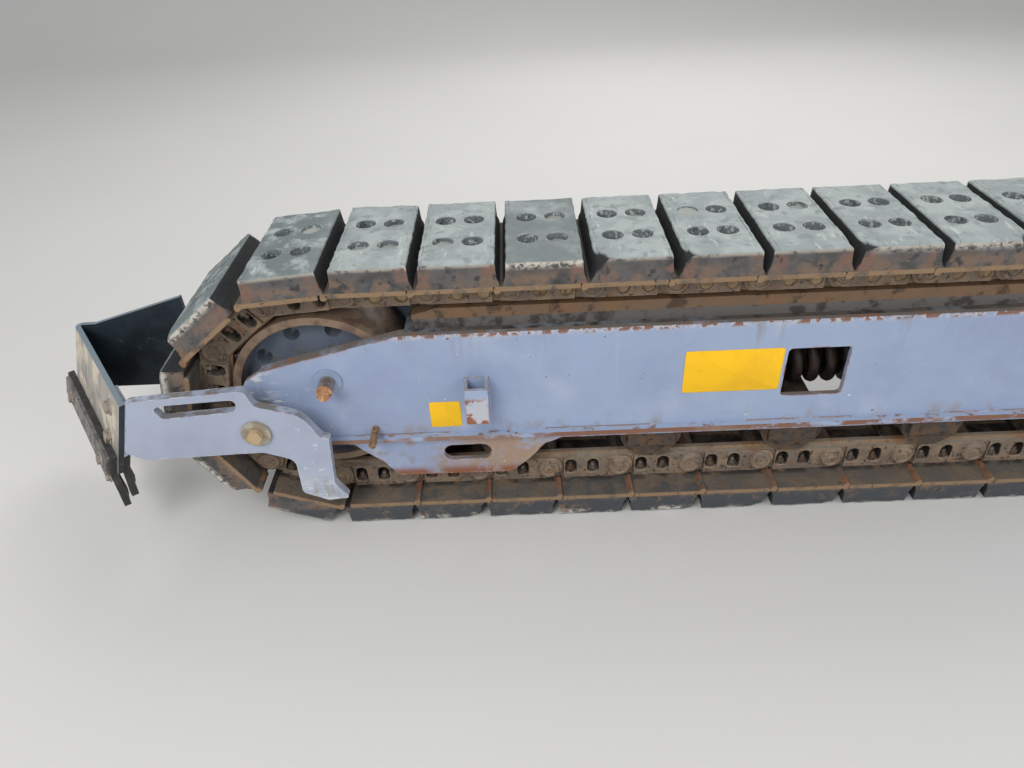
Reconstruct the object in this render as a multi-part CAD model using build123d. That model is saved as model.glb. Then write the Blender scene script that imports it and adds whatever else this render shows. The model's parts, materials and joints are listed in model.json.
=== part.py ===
from build123d import *
import os
from math import cos, hypot, pi, radians, sin

# Left-hand crawler track unit of an asphalt paver, with its swing-up front deflector.
# Millimetres. +X to the rear of the machine, +Y to its middle, +Z up. The origin lies on the ground,
# half way between idler and sprocket, on the middle line of the track shoes.

# Track chain: link pitch, number of shoes, and how many links one full turn of the sprocket carries.
pitch = 171.45
shoe_count = 38
links_per_turn = 9
pin_phase = 0.471
shoe_width = 305.0
shoe_lead = 28.0
shoe_plate_length = 167.0
shoe_plate = 10.0
pad_lead, pad_length = 14.0, 152.0
pad_taper = 3.0
pad_height = 55.0
rail_height = 36.0
seat_depth = 32.0
strand_width = 30.0
strand_offset = 69.5
bush_radius = 22.0
bush_faces = 8
window_lead, window_offset = -5.0, 27.0
window_half, window_top = 15.0, 10.0
window_low, window_high = 20.0, 17.0
fit = 0.3
past = 5.0

pin_radius = pitch / 2 / sin(pi / links_per_turn)
wheelbase = (shoe_count - links_per_turn) / 2 * pitch
shoe_depth = seat_depth + shoe_plate + pad_height
axle_z = pin_radius + shoe_depth
idler_x = -wheelbase / 2
sprocket_x = wheelbase / 2
half_turn = links_per_turn / 2
rail_apothem = pin_radius * cos(pi / links_per_turn) - rail_height
strand_inner = strand_offset - strand_width / 2
strand_outer = strand_offset + strand_width / 2

# Side frame: two plates joined by a top plate and cross plates.
frame_half = 117.5
frame_plate = 12.0
frame_top = axle_z + 167.4
skirt_z = 222.0
frame_rear = wheelbase - 300.0
rear_bulge = 30.0
frame_inside = frame_half - frame_plate
ledge_z = 238.0
ledge_height = 12.0
ledge_depth = 15.0
top_start, top_inset = 207.0, 10.0
nose_top, nose_knee, nose_end = (-116, 438), (-14, 464), (198, frame_top)
cap_width = 15.0
slide_start, slide_inset = 225.0, 40.0
slide_width = 40.0
slide_ramp, slide_drop = 50.0, 14.0
cross_reach, cross_low = 95.0, 300.0
rear_cross_inset = 120.0
window_x, window_z = 1025.0, 318.0
window_length, window_height, window_corner = 135.0, 125.0, 10.0
eye_x, eye_z, eye_length, eye_height = 319.0, 189.0, 112.0, 44.0

# Wheels inside the chain.
roller_count = 6
roller_radius = 72.0
roller_first, roller_last = 420.0, 2070.0
saddle_thickness = 12.0
saddle_half = 55.0
saddle_low, saddle_high = 30.0, 90.0
idler_half = 80.0
idler_dish = 12.0
idler_rim = 18.0
idler_web = 84.0
idler_hub_radius = 62.0
idler_hub_half = 78.0
idler_hole_radius = 18.0
idler_hole_circle = 149.0
idler_hole_count = 10
idler_hole_turn = radians(2)
axle_radius = 30.0
yoke_arm = 14.0
yoke_gap = 5.0
yoke_nose, yoke_nose_radius = 56.0, 40.0
yoke_half_height = 44.0
yoke_reach = 235.0
yoke_head = 50.0
tension_rod_radius = 38.0
tension_rod_length = 330.0
tension_barrel_radius, tension_barrel_length = 52.0, 180.0
spring_radius = 66.0
spring_length = 620.0
sprocket_half = 24.0
tooth_gap_radius = bush_radius + 0.5
tip_radius = 256.0
tooth_mouth, tooth_flare = 60.0, 22.0
gearbox_radius = 138.0
gearbox_flange_radius = 172.0
gearbox_flange = 22.0
gearbox_front = 88.0
cover_radius = 104.0
cover_depth = 18.0
drive_plate_radius = 192.0
motor_radius = 76.0
motor_length = 120.0
port_half, port_height, port_start, port_end = 45.0, 20.0, 50.0, 16.0

# Brackets that hold the unit to the machine, with four bolts each.
bracket_places = (700.0, 1700.0)
bracket_z = 385.0
bracket_half_length, bracket_half_height = 90.0, 75.0
flange_half_length, flange_half_height = 130.0, 110.0
flange_face, flange_thickness = 182.0, 20.0
flange_bolt_x, flange_bolt_z, flange_hole_radius = 100.0, 80.0, 11.0

# Small things on the outer plate.
socket_x, socket_low, socket_high = 353.0, 311.0, 404.0
socket_size, socket_wall = 50.0, 6.0
stop_x, stop_z = 30.0, 410.0
stop_pad_radius, stop_pad = 30.0, 6.0
stop_sleeve_radius, stop_sleeve_reach = 17.0, 165.0
stop_head_radius, stop_head = 14.0, 13.0
stud_x, stud_z, stud_radius, stud_reach = 114.0, 270.0, 9.0, 180.0

# Deflector: two arms on pivots, a bent board that leans forward at its foot, and rubber blades.
# Drops are measured down from the board's top edge, and runs along the board from its outer end.
pivot_x, pivot_z = -127.0, 330.0
side_clearance = 6.0
board_thickness = 12.0
arm_thickness = 20.0
board_inside = shoe_width / 2 + side_clearance
arm_inside = board_inside + board_thickness
arm_outside = arm_inside + arm_thickness
boss_radius = 32.0
pivot_radius = 15.0
pivot_fit = 0.08
washer_radius, washer_thickness = 32.5, 6.0
pivot_head_radius, pivot_head = 18.0, 14.0
board_top = 415.0
board_height = 190.0
board_lean = 0.36
board_angle = radians(36.5)
board_front_x = -398.0
board_bend = 3.0
side_start = 60.0
side_end_x, side_end_top = -372.0, 481.0
arm_flange_run, arm_flange = 110.0, 12.0
arm_flange_drop, arm_flange_height = 15.0, 130.0
blade_thickness = 15.0
front_blade_runs, rear_blade_runs = (14.0, 455.0), (5.0, 405.0)
front_blade_drop, front_blade_foot = 145.0, 120.0
rear_blade_drop, rear_blade_foot = 150.0, 145.0
clamp_runs, clamp_thickness = (22.0, 440.0), 8.0
clamp_drop, clamp_height = 148.0, 48.0
clamp_bolt_runs, clamp_bolt_radius, clamp_bolt_head = (62.0, 364.0), 12.0, 9.0
board_bolt_run, board_bolt_drops = 78.0, (45.0, 128.0)
board_bolt_radius, board_bolt_head = 15.0, 11.0


def outline_face(corners, plan):
    """Face with the corners given, each rounded by the last value of its entry in plan."""
    radii = [entry[-1] for entry in plan]
    if any(radii):
        return make_face(FilletPolyline(*corners, radius=radii, close=True))
    return make_face(Polyline(*corners, close=True))


def plate(points, y_low, y_high):
    """Plate between two Y planes, with corners (x, z, corner radius) measured from the idler's axis in X."""
    corners = [Vector(idler_x + x, y_low, z) for x, z, _ in points]
    return extrude(outline_face(corners, points), y_high - y_low, dir=(0, 1, 0))


def block(x_low, x_high, y_low, y_high, z_low, z_high):
    """Rectangular block, with X measured from the idler's axis."""
    size = (x_high - x_low, y_high - y_low, z_high - z_low)
    place = Pos(idler_x + x_low, y_low, z_low)
    return place * Box(*size, align=(Align.MIN, Align.MIN, Align.MIN))


def rod(x, z, radius, y_low, y_high):
    """Round bar along Y, with X measured from the idler's axis."""
    bar = Cylinder(radius, y_high - y_low, align=(Align.CENTER, Align.CENTER, Align.MIN))
    return Pos(idler_x + x, y_low, z) * Rot(-90, 0, 0) * bar


def hexagon(x, z, radius, y_low, y_high):
    """Hexagonal bar along Y, radius to its corners, with X measured from the idler's axis."""
    bar = extrude(RegularPolygon(radius, 6), y_high - y_low)
    return Pos(idler_x + x, y_low, z) * Rot(-90, 0, 0) * bar


def turned(x, z, profile):
    """Body turned about an axis along Y, from a half section of (radius, y) corners."""
    face = make_face(Polyline(*[(radius, y, 0) for radius, y in profile], close=True))
    return Pos(idler_x + x, 0, z) * revolve(face, Axis.Y)


def both_sides(solid):
    return [solid, mirror(solid, Plane.XZ)]


def pin_place(s):
    """Place of the point s pitches along the pin line, counted from the idler's top, forwards and down."""
    s %= shoe_count
    straight = wheelbase / pitch
    turn = 2 * pi / links_per_turn
    if s < half_turn:
        a = pi / 2 + s * turn
        return idler_x + pin_radius * cos(a), axle_z + pin_radius * sin(a)
    if s < half_turn + straight:
        return idler_x + (s - half_turn) * pitch, axle_z - pin_radius
    if s < 2 * half_turn + straight:
        a = 3 * pi / 2 + (s - half_turn - straight) * turn
        return sprocket_x + pin_radius * cos(a), axle_z + pin_radius * sin(a)
    return sprocket_x - (s - 2 * half_turn - straight) * pitch, axle_z + pin_radius


pins = [pin_place(pin_phase + k) for k in range(shoe_count)]


class Link:
    """Frame of one link: its middle on the pin line, u along the track and v outwards."""

    def __init__(self, start, end):
        self.x, self.z = (start[0] + end[0]) / 2, (start[1] + end[1]) / 2
        length = hypot(end[0] - start[0], end[1] - start[1])
        self.ux, self.uz = (end[0] - start[0]) / length, (end[1] - start[1]) / length

    def at(self, u, v):
        return self.x + u * self.ux + v * self.uz, self.z + u * self.uz - v * self.ux


links = [Link(pins[k], pins[(k + 1) % shoe_count]) for k in range(shoe_count)]


def ring_corner(a, b, v):
    """Corner where the lines at height v of two links in a row meet."""
    turn = a.ux * b.uz - a.uz * b.ux
    if abs(turn) < 1e-6:
        return a.at(pitch / 2, v)
    (px, pz), (qx, qz) = a.at(0, v), b.at(0, v)
    along = ((qx - px) * b.uz - (qz - pz) * b.ux) / turn
    return px + along * a.ux, pz + along * a.uz


def ring_face(v):
    return flat([ring_corner(links[k], links[(k + 1) % shoe_count], v) for k in range(shoe_count)])


def flat(points):
    """Face in the X-Z plane."""
    return make_face(Polyline(*[(x, 0, z) for x, z in points], close=True))


def along_y(face, y_low, y_high):
    return extrude(Pos(0, y_low, 0) * face, y_high - y_low, dir=(0, 1, 0))


def track_shoes():
    """Steel shoes end to end with a rubber pad on each, as one endless band."""
    outer = seat_depth + shoe_plate
    start, end = shoe_lead - shoe_plate_length / 2, shoe_lead + shoe_plate_length / 2
    pad_start, pad_end = pad_lead - pad_length / 2, pad_lead + pad_length / 2
    section = [(start, seat_depth), (start, outer - shoe_plate / 2), (pad_start, outer),
               (pad_start + pad_taper, outer + pad_height), (pad_end - pad_taper, outer + pad_height),
               (pad_end, outer), (end, outer), (end, seat_depth)]
    shoes = [flat([link.at(u, v) for u, v in section]) for link in links]
    band = ring_face(outer).fuse(*shoes) - ring_face(seat_depth)
    return along_y(band.clean(), -shoe_width / 2, shoe_width / 2)


def link_strand(y_low, y_high):
    """One strand of the chain: the rail the rollers run on, with two bolt windows in each link."""
    windows = []
    for link in links:
        for u in (window_lead - window_offset, window_lead + window_offset):
            section = [(u - window_half, window_high), (u - window_top, -window_low),
                       (u + window_top, -window_low), (u + window_half, window_high)]
            windows.append(flat([link.at(p, q) for p, q in section]))
    band = ring_face(seat_depth) - ring_face(-rail_height) - windows
    return along_y(band.clean(), y_low, y_high)


def bushings():
    """Bushings across the chain, one at each pin, between the two strands."""
    bars = []
    for x, z in pins:
        prism = extrude(RegularPolygon(bush_radius, bush_faces), 2 * strand_inner)
        bars.append(Pos(x, -strand_inner, z) * Rot(-90, 0, 0) * prism)
    return bars


guard = [(57, skirt_z, 12), (119, 166, 20), (150, 124, 14), (419, 122, 14), (463, 161, 20), (500, 206, 20),
         (540, skirt_z, 0)]
rear_guard_end = frame_rear - 1


def side_outline(rear):
    """Outline of a side plate, with the roller guards under its foot. rear lists its corners at the rear."""
    nose = [(-60, 250, 20), (-127, 266, 50), (-182, 300, 40), (-178, 360, 40), (-152, 416, 25),
            (*nose_top, 20), (*nose_knee, 80), (*nose_end, 80)]
    back_guard = [(rear_guard_end - x, z, r) for x, z, r in guard]
    return nose + rear + back_guard + guard[::-1]


def frame_plate_outer():
    rear = [(frame_rear, frame_top, 60), (frame_rear + rear_bulge, axle_z, 60), (frame_rear, skirt_z, 30)]
    body = plate(side_outline(rear), -frame_half, -frame_inside)
    corner = window_corner
    x_high, z_high = window_x + window_length, window_z + window_height
    window = [(window_x, window_z, corner), (x_high, window_z, corner), (x_high, z_high, corner),
              (window_x, z_high, corner)]
    body -= plate(window, -frame_half - past, -frame_inside + past)
    place = Pos(idler_x + eye_x, -frame_half - past, eye_z) * Rot(90, 0, 0)
    return body - extrude(place * SlotOverall(eye_length, eye_height), -2 * past - frame_plate)


def frame_plate_inner():
    """Inner side plate, drawn out at the rear into the round face that carries the travel drive."""
    r = drive_plate_radius
    rear = [(frame_rear, frame_top, 60), (wheelbase, axle_z + r, 0), (wheelbase, axle_z - r, 0),
            (frame_rear, skirt_z, 30)]
    body = plate(side_outline(rear), frame_inside, frame_half)
    return body.fuse(rod(wheelbase, axle_z, r, frame_inside, frame_half))


def frame_top_plate():
    return block(top_start, frame_rear - top_inset, -frame_inside, frame_inside, frame_top - frame_plate,
                 frame_top)


def nose_caps():
    """Cover strips along the top of the fork on both sides of the idler."""
    line = [nose_top, nose_knee, nose_end, (top_start, frame_top)]
    under = [(x, z - frame_plate) for x, z in reversed(line)]
    strip = plate([(x, z, 0) for x, z in line + under], -frame_inside, -frame_inside + cap_width)
    return both_sides(strip)


def ledge_strips():
    strip = block(0, frame_rear, -frame_half - ledge_depth, -frame_half, ledge_z, ledge_z + ledge_height)
    return both_sides(strip)


def slide_rails():
    """Wear rails on the top plate that carry the returning chain."""
    top = axle_z + pin_radius - rail_height - fit
    y = strand_offset
    end = frame_rear - slide_inset
    ends = [(slide_start, top - slide_drop, 0), (slide_start + slide_ramp, top, 0),
            (end - slide_ramp, top, 0), (end, top - slide_drop, 0), (end, frame_top, 0),
            (slide_start, frame_top, 0)]
    return both_sides(plate(ends, -y - slide_width / 2, -y + slide_width / 2))


def cross_plates():
    """Cross plates between the side plates: behind the fork, at both ends of the spring, and at the rear."""
    top = axle_z + cross_reach
    places = [(spring_start - frame_plate, top), (spring_start + spring_length, top),
              (frame_rear - rear_cross_inset, frame_top - frame_plate)]
    plates = [block(x, x + frame_plate, -frame_inside, frame_inside, cross_low, high) for x, high in places]
    hole = Pos(idler_x + spring_start - 2 * frame_plate, 0, axle_z) * Rot(0, 90, 0) * Cylinder(
        tension_rod_radius + fit, 4 * frame_plate, align=(Align.CENTER, Align.CENTER, Align.MIN))
    plates[0] -= hole
    return plates


spring_start = yoke_reach + yoke_head + tension_rod_length


def roller_places():
    step = (roller_last - roller_first) / (roller_count - 1)
    return [roller_first + k * step for k in range(roller_count)]


roller_z = axle_z - pin_radius + rail_height + fit + roller_radius


def track_rollers():
    """Bottom rollers between their saddles, which carry the unit on the chain's rails."""
    half = frame_inside - saddle_thickness - fit
    return [rod(x, roller_z, roller_radius, -half, half) for x in roller_places()]


def roller_saddles():
    """Blocks inside the side plates that hold the ends of the roller shafts."""
    blocks = []
    for x in roller_places():
        low, high = roller_z - saddle_low, roller_z + saddle_high
        side = block(x - saddle_half, x + saddle_half, -frame_inside, -frame_inside + saddle_thickness,
                     low, high)
        blocks += both_sides(side)
    return blocks


def idler_wheel():
    """Front idler: a wide rim that the chain's rails run on, a dished web with holes, and a hub."""
    tread = rail_apothem - fit
    rim_inside = tread - idler_rim
    half = [(0, idler_hub_half), (idler_hub_radius, idler_hub_half), (idler_hub_radius, idler_web / 2),
            (rim_inside - idler_dish, idler_web / 2), (rim_inside, idler_half), (tread, idler_half)]
    wheel = turned(0, axle_z, half + [(r, -y) for r, y in reversed(half)])
    for k in range(idler_hole_count):
        a = idler_hole_turn + 2 * pi * k / idler_hole_count
        x, z = idler_hole_circle * cos(a), axle_z + idler_hole_circle * sin(a)
        wheel -= rod(x, z, idler_hole_radius, -idler_web, idler_web)
    return wheel


yoke_inside = idler_half + yoke_gap
yoke_outside = yoke_inside + yoke_arm


def idler_yoke():
    """Fork with the ends of the idler's fixed axle, pushed forwards by the tensioner."""
    low, high = axle_z - yoke_half_height, axle_z + yoke_half_height
    arm = [(-yoke_nose, low, yoke_nose_radius), (-yoke_nose, high, yoke_nose_radius), (yoke_reach, high, 0),
           (yoke_reach, low, 0)]
    stub = rod(0, axle_z, axle_radius, -yoke_inside, -idler_hub_half)
    side = plate(arm, -yoke_outside, -yoke_inside).fuse(stub)
    head = block(yoke_reach, yoke_reach + yoke_head, -yoke_outside, yoke_outside, low, high)
    return head.fuse(*both_sides(side))


def bar_x(x, length, radius):
    bar = Cylinder(radius, length, align=(Align.CENTER, Align.CENTER, Align.MIN))
    return Pos(idler_x + x, 0, axle_z) * Rot(0, 90, 0) * bar


def tension_cylinder():
    """Grease cylinder between the yoke and the spring."""
    start = yoke_reach + yoke_head
    barrel = bar_x(start, tension_barrel_length, tension_barrel_radius)
    return barrel.fuse(bar_x(start, tension_rod_length, tension_rod_radius))


def recoil_spring():
    """Recoil spring that lets the idler give way, as the outer shape of its coils."""
    return bar_x(spring_start, spring_length, spring_radius)


def sprocket():
    """Drive sprocket with two teeth to a link: every second gap holds a bushing."""
    gaps = 2 * links_per_turn
    step = 2 * pi / gaps
    first = 3 * pi / 2 + (pin_phase - half_turn % 1) * 2 * step
    blank = Rot(0, 0, -first * 180 / pi) * RegularPolygon(tip_radius, gaps, major_radius=False)
    wheel = Pos(sprocket_x, -sprocket_half, axle_z) * Rot(-90, 0, 0) * extrude(blank, 2 * sprocket_half)
    mouth = tooth_gap_radius
    bite = Sketch() + Rot(0, 0, 180 / bush_faces) * RegularPolygon(mouth, bush_faces, major_radius=False)
    wide = mouth + tooth_flare
    bite += make_face(Polyline((0, -mouth), (tooth_mouth, -wide), (tooth_mouth, wide), (0, mouth), close=True))
    cutter = extrude(bite, 2 * (sprocket_half + past))
    for k in range(gaps):
        a = first + k * step
        place = Pos(sprocket_x + pin_radius * cos(a), sprocket_half + past, axle_z + pin_radius * sin(a))
        wheel -= place * Rot(90, 0, 0) * Rot(0, 0, a * 180 / pi) * cutter
    return wheel - rod(wheelbase, axle_z, gearbox_radius + fit, -sprocket_half - past, sprocket_half + past)


def drive_gearbox():
    """Travel gearbox inside the sprocket, with the flange that is bolted to the inner plate."""
    back = frame_inside
    profile = [(0, back), (gearbox_flange_radius, back), (gearbox_flange_radius, back - gearbox_flange),
               (gearbox_radius, back - gearbox_flange), (gearbox_radius, -gearbox_front), (0, -gearbox_front)]
    return turned(wheelbase, axle_z, profile)


def drive_cover():
    low = -gearbox_front - cover_depth
    return rod(wheelbase, axle_z, cover_radius, low, -gearbox_front)


def drive_motor():
    """Hydraulic motor on the inner side of the drive, with its port block."""
    start = frame_half
    body = rod(wheelbase, axle_z, motor_radius, start, start + motor_length)
    top = axle_z + motor_radius + port_height
    ports = block(wheelbase - port_half, wheelbase + port_half, start + port_start,
                  start + motor_length - port_end, axle_z, top)
    return body.fuse(ports)


def mount_bracket(x):
    """Box bracket on the inner plate, with a four-bolt flange for the machine's frame."""
    z = bracket_z
    box = block(x - bracket_half_length, x + bracket_half_length, frame_half, flange_face - flange_thickness,
                z - bracket_half_height, z + bracket_half_height)
    flange = block(x - flange_half_length, x + flange_half_length, flange_face - flange_thickness,
                   flange_face, z - flange_half_height, z + flange_half_height)
    behind, ahead = flange_face - flange_thickness - past, flange_face + past
    for dx in (-flange_bolt_x, flange_bolt_x):
        for dz in (-flange_bolt_z, flange_bolt_z):
            flange -= rod(x + dx, z + dz, flange_hole_radius, behind, ahead)
    return box.fuse(flange)


def pivot_bosses():
    return both_sides(rod(pivot_x, pivot_z, boss_radius, -arm_inside + fit, -frame_half))


def pivot_bolts():
    """Shoulder bolts that the arms turn on, each with its washer and head."""
    face = arm_outside + fit
    bolt = rod(pivot_x, pivot_z, pivot_radius, -face, -arm_inside + fit)
    bolt = bolt.fuse(rod(pivot_x, pivot_z, washer_radius, -face - washer_thickness, -face),
                     hexagon(pivot_x, pivot_z, pivot_head_radius, -face - washer_thickness - pivot_head,
                             -face - washer_thickness))
    return both_sides(bolt)


def stop_bolt():
    """Bolt in a sleeve on a round pad of the outer plate."""
    face = frame_half
    pad = rod(stop_x, stop_z, stop_pad_radius, -face - stop_pad, -face)
    sleeve = rod(stop_x, stop_z, stop_sleeve_radius, -stop_sleeve_reach, -face - stop_pad)
    head = hexagon(stop_x, stop_z, stop_head_radius, -stop_sleeve_reach - stop_head, -stop_sleeve_reach)
    return pad.fuse(sleeve, head)


def square_socket():
    half = socket_size / 2
    tube = block(socket_x - half, socket_x + half, -frame_half - socket_size, -frame_half, socket_low,
                 socket_high)
    inner = half - socket_wall
    y_low, y_high = -frame_half - socket_size + socket_wall, -frame_half - socket_wall
    return tube - block(socket_x - inner, socket_x + inner, y_low, y_high, socket_low + socket_wall,
                        socket_high + past)


def grease_stud():
    return hexagon(stud_x, stud_z, stud_radius, -stud_reach, -frame_half)


def board_point(run, depth):
    """Place (x, y) in the board's top edge: run along it from its outer end, depth behind its front face."""
    x = board_front_x - run * sin(board_angle) + depth * cos(board_angle)
    return x, -arm_outside + run * cos(board_angle) + depth * sin(board_angle)


def leaning(plan, drop, height, lean=board_lean):
    """Solid that starts drop below the board's top edge and goes down height, leaning forwards by lean.

    plan lists (x, y, corner radius) in the board's top edge, with X measured from the idler's axis."""
    shift = idler_x - board_lean * drop
    corners = [Vector(x + shift, y, board_top - drop) for x, y, _ in plan]
    path = Vector(-lean, 0, -1)
    return extrude(outline_face(corners, plan), height * path.length, dir=path.normalized())


def strip_plan(runs, depth, thickness):
    low, high = runs
    places = [(low, depth), (high, depth), (high, depth + thickness), (low, depth + thickness)]
    return [(*board_point(run, d), 0) for run, d in places]


def deflector_arm():
    """Arm of the deflector: the board is carried at its front, and its foot hangs behind the pivot."""
    outline = [(-390, 424, 26), (-130, 443, 14), (-116, 400, 12), (-26, 373, 60), (10, 309, 8), (25, 304, 0),
               (15, 172, 20), (42, 126, 5), (-8, 121, 14), (-63, 148, 16), (-60, 247, 25), (-125, 273, 40),
               (-392, 265, 26), (-436, 292, 14)]
    arm = plate(outline, -arm_outside, -arm_inside)
    return arm - rod(pivot_x, pivot_z, pivot_radius + pivot_fit, -arm_outside - past, -arm_inside + past)


def deflector_arm_outer():
    """Outer arm, with a slot for a hand and the slanted flange that the board is bolted to."""
    slot = [(-334, 404, 10), (-318, 377, 14), (-160, 389, 12), (-146, 421, 12), (-312, 412, 8)]
    arm = deflector_arm() - plate(slot, -arm_outside - past, -arm_inside + past)
    ahead = strip_plan((-arm_flange_run, arm_flange_run), board_thickness - arm_flange_run, arm_flange_run)
    arm -= leaning(ahead, -arm_flange_run, 2 * board_height)
    flange = strip_plan((0, arm_flange_run), board_thickness, arm_flange)
    return arm.fuse(leaning(flange, arm_flange_drop, arm_flange_height))


def mouldboard():
    """One bent plate: the board across the front of the track, and its side along the inner arm."""
    t = board_thickness
    corner_run = (arm_inside + arm_outside) / cos(board_angle)
    back_run = (board_inside + arm_outside - t * sin(board_angle)) / cos(board_angle)
    corner, back = board_point(corner_run, 0), board_point(back_run, t)
    start = corner[0] + side_start
    plan = [(*board_point(0, 0), 0), (*corner, board_bend + t), (start, arm_inside, 0), (start, board_inside, 0),
            (*back, board_bend), (*board_point(0, t), 0)]
    foot = board_top - board_height
    side = [(start, board_top, 0), (side_end_x, side_end_top, 0), (side_end_x, foot, 0),
            (start - board_lean * board_height, foot, 0)]
    return leaning(plan, 0, board_height).fuse(plate(side, board_inside, arm_inside))


def blade(runs, depth, drop, foot):
    """Rubber blade, held flat against the board and hanging straight down below it."""
    plan = strip_plan(runs, depth, blade_thickness)
    held = leaning(plan, drop, board_height - drop)
    return held.fuse(leaning(plan, board_height, board_top - board_height - foot, 0))


def blade_front():
    return blade(front_blade_runs, -blade_thickness, front_blade_drop, front_blade_foot)


def blade_rear():
    return blade(rear_blade_runs, board_thickness, rear_blade_drop, rear_blade_foot)


def clamp_bar():
    """Flat bar that clamps the front blade to the board."""
    return leaning(strip_plan(clamp_runs, -blade_thickness - clamp_thickness, clamp_thickness), clamp_drop,
                   clamp_height)


def deflector_bolts():
    """Hexagonal heads on the clamp bar, and on the board where it is bolted to the outer arm."""
    lean = Vector(-board_lean, 0, -1)
    run = Vector(-sin(board_angle), cos(board_angle), 0)
    ahead = run.cross(lean).normalized()
    clamp_face = -blade_thickness - clamp_thickness
    clamp_middle = clamp_drop + clamp_height / 2
    heads = [(r, clamp_face, clamp_middle, clamp_bolt_radius, clamp_bolt_head) for r in clamp_bolt_runs]
    heads += [(board_bolt_run, 0, drop, board_bolt_radius, board_bolt_head) for drop in board_bolt_drops]
    bolts = []
    for r, depth, drop, radius, head in heads:
        x, y = board_point(r, depth)
        place = Plane(origin=(idler_x + x - board_lean * drop, y, board_top - drop), z_dir=ahead)
        bolts.append(extrude(place * RegularPolygon(radius, 6), head))
    return bolts


nodes = {
    "track_shoes": [track_shoes()],
    "track_links_outer": [link_strand(-strand_outer, -strand_inner)],
    "track_links_inner": [link_strand(strand_inner, strand_outer)],
    "track_bushings": bushings(),
    "frame_plate_outer": [frame_plate_outer()],
    "frame_plate_inner": [frame_plate_inner()],
    "frame_top_plate": [frame_top_plate()],
    "nose_caps": nose_caps(),
    "ledge_strips": ledge_strips(),
    "slide_rails": slide_rails(),
    "cross_plates": cross_plates(),
    "track_rollers": track_rollers(),
    "roller_saddles": roller_saddles(),
    "idler_wheel": [idler_wheel()],
    "idler_yoke": [idler_yoke()],
    "tension_cylinder": [tension_cylinder()],
    "recoil_spring": [recoil_spring()],
    "sprocket": [sprocket()],
    "drive_gearbox": [drive_gearbox()],
    "drive_cover": [drive_cover()],
    "drive_motor": [drive_motor()],
    "mount_brackets": [mount_bracket(x) for x in bracket_places],
    "pivot_bosses": pivot_bosses(),
    "pivot_and_stop_bolts": pivot_bolts() + [stop_bolt()],
    "square_socket": [square_socket()],
    "grease_stud": [grease_stud()],
    "deflector_arm_outer": [deflector_arm_outer()],
    "deflector_arm_inner": [mirror(deflector_arm(), Plane.XZ)],
    "mouldboard": [mouldboard()],
    "blade_front": [blade_front()],
    "blade_rear": [blade_rear()],
    "clamp_bar": [clamp_bar()],
    "deflector_bolts": deflector_bolts(),
}

os.makedirs("parts", exist_ok=True)
for name, solids in nodes.items():
    shape = solids[0] if len(solids) == 1 else Compound(children=solids)
    shape.label = name
    export_step(shape, f"parts/{name}.step")
print(f"wheelbase {wheelbase:.1f}, axle height {axle_z:.1f}, pin radius {pin_radius:.1f}")
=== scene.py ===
import json
from math import cos, pi, radians, sin

import bmesh
import bpy
import numpy as np
from mathutils import Matrix, Vector


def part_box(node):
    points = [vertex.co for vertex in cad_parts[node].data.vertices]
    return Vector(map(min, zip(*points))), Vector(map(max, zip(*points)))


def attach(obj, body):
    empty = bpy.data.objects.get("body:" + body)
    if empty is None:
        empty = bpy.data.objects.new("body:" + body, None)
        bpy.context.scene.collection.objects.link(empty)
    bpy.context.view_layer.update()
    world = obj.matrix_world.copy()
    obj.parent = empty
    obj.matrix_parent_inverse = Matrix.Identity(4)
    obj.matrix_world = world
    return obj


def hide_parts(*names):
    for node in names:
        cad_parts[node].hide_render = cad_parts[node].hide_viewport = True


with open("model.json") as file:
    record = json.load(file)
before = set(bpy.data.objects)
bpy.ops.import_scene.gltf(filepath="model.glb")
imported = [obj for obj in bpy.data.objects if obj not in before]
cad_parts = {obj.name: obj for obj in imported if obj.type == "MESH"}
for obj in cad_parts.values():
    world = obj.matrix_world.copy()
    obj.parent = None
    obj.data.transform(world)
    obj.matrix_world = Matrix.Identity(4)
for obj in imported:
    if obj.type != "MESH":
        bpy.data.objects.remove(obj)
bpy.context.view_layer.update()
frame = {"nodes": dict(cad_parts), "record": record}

bl_info = {
    "name": "Crawler track unit",
    "version": (1, 0, 0),
    "blender": (4, 5, 0),
    "location": "3D View > Sidebar > Crawler",
    "description": "Dresses a paver's crawler track unit: pads, chain, blades, plates, paint, rust, dust",
    "category": "Object",
}

MM = 0.001
X, Y, Z = 0, 1, 2
UP, OUT = (0, 0, 1), (0, -1, 0)
AXLE_Z = 347.65 * MM
IDLER_X, SPROCKET_X = -1243.0125 * MM, 1243.0125 * MM
SIDE_PLATE_Y, DRIVE_COVER_Y = -117.5 * MM, -106 * MM

# The pin line: nine links would make a whole turn, and the first pin is part of a pitch along it.
PITCH = 171.45 * MM
SHOES = 38
TURN_LINKS = 9
PHASE = 0.471
PIN_RADIUS = PITCH / 2 / sin(pi / TURN_LINKS)

# One link in millimetres: along the track from its middle, across it, and outwards from its pins.
LINK_BACK, LINK_SET_BACK, LINK_FACE = 54.5, 77.0, 84.5
LINK_INSIDE, LINK_FOOT = -29.0, 32.0
LINK_GAP, MITRE_START = 0.4, 59
NUTS_ALONG, NUTS_ACROSS, NUTS_OUT = (-32.0, 22.0), 72, 19
PAD_ALONG = 14.0

# The deflector's board, from its outer end, and the rubber blades on it.
ARM_OUTSIDE = 190.5 * MM
BOARD_ANGLE = radians(36.5)
BOARD_LEAN = 0.36
BOARD_TOP = 415 * MM
BOARD_HEIGHT = 190 * MM
BOARD_FRONT = IDLER_X - 398 * MM
BOARD_AHEAD = (-0.8, -0.59, 0.0)
BLADE_THICKNESS = 15 * MM


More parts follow.
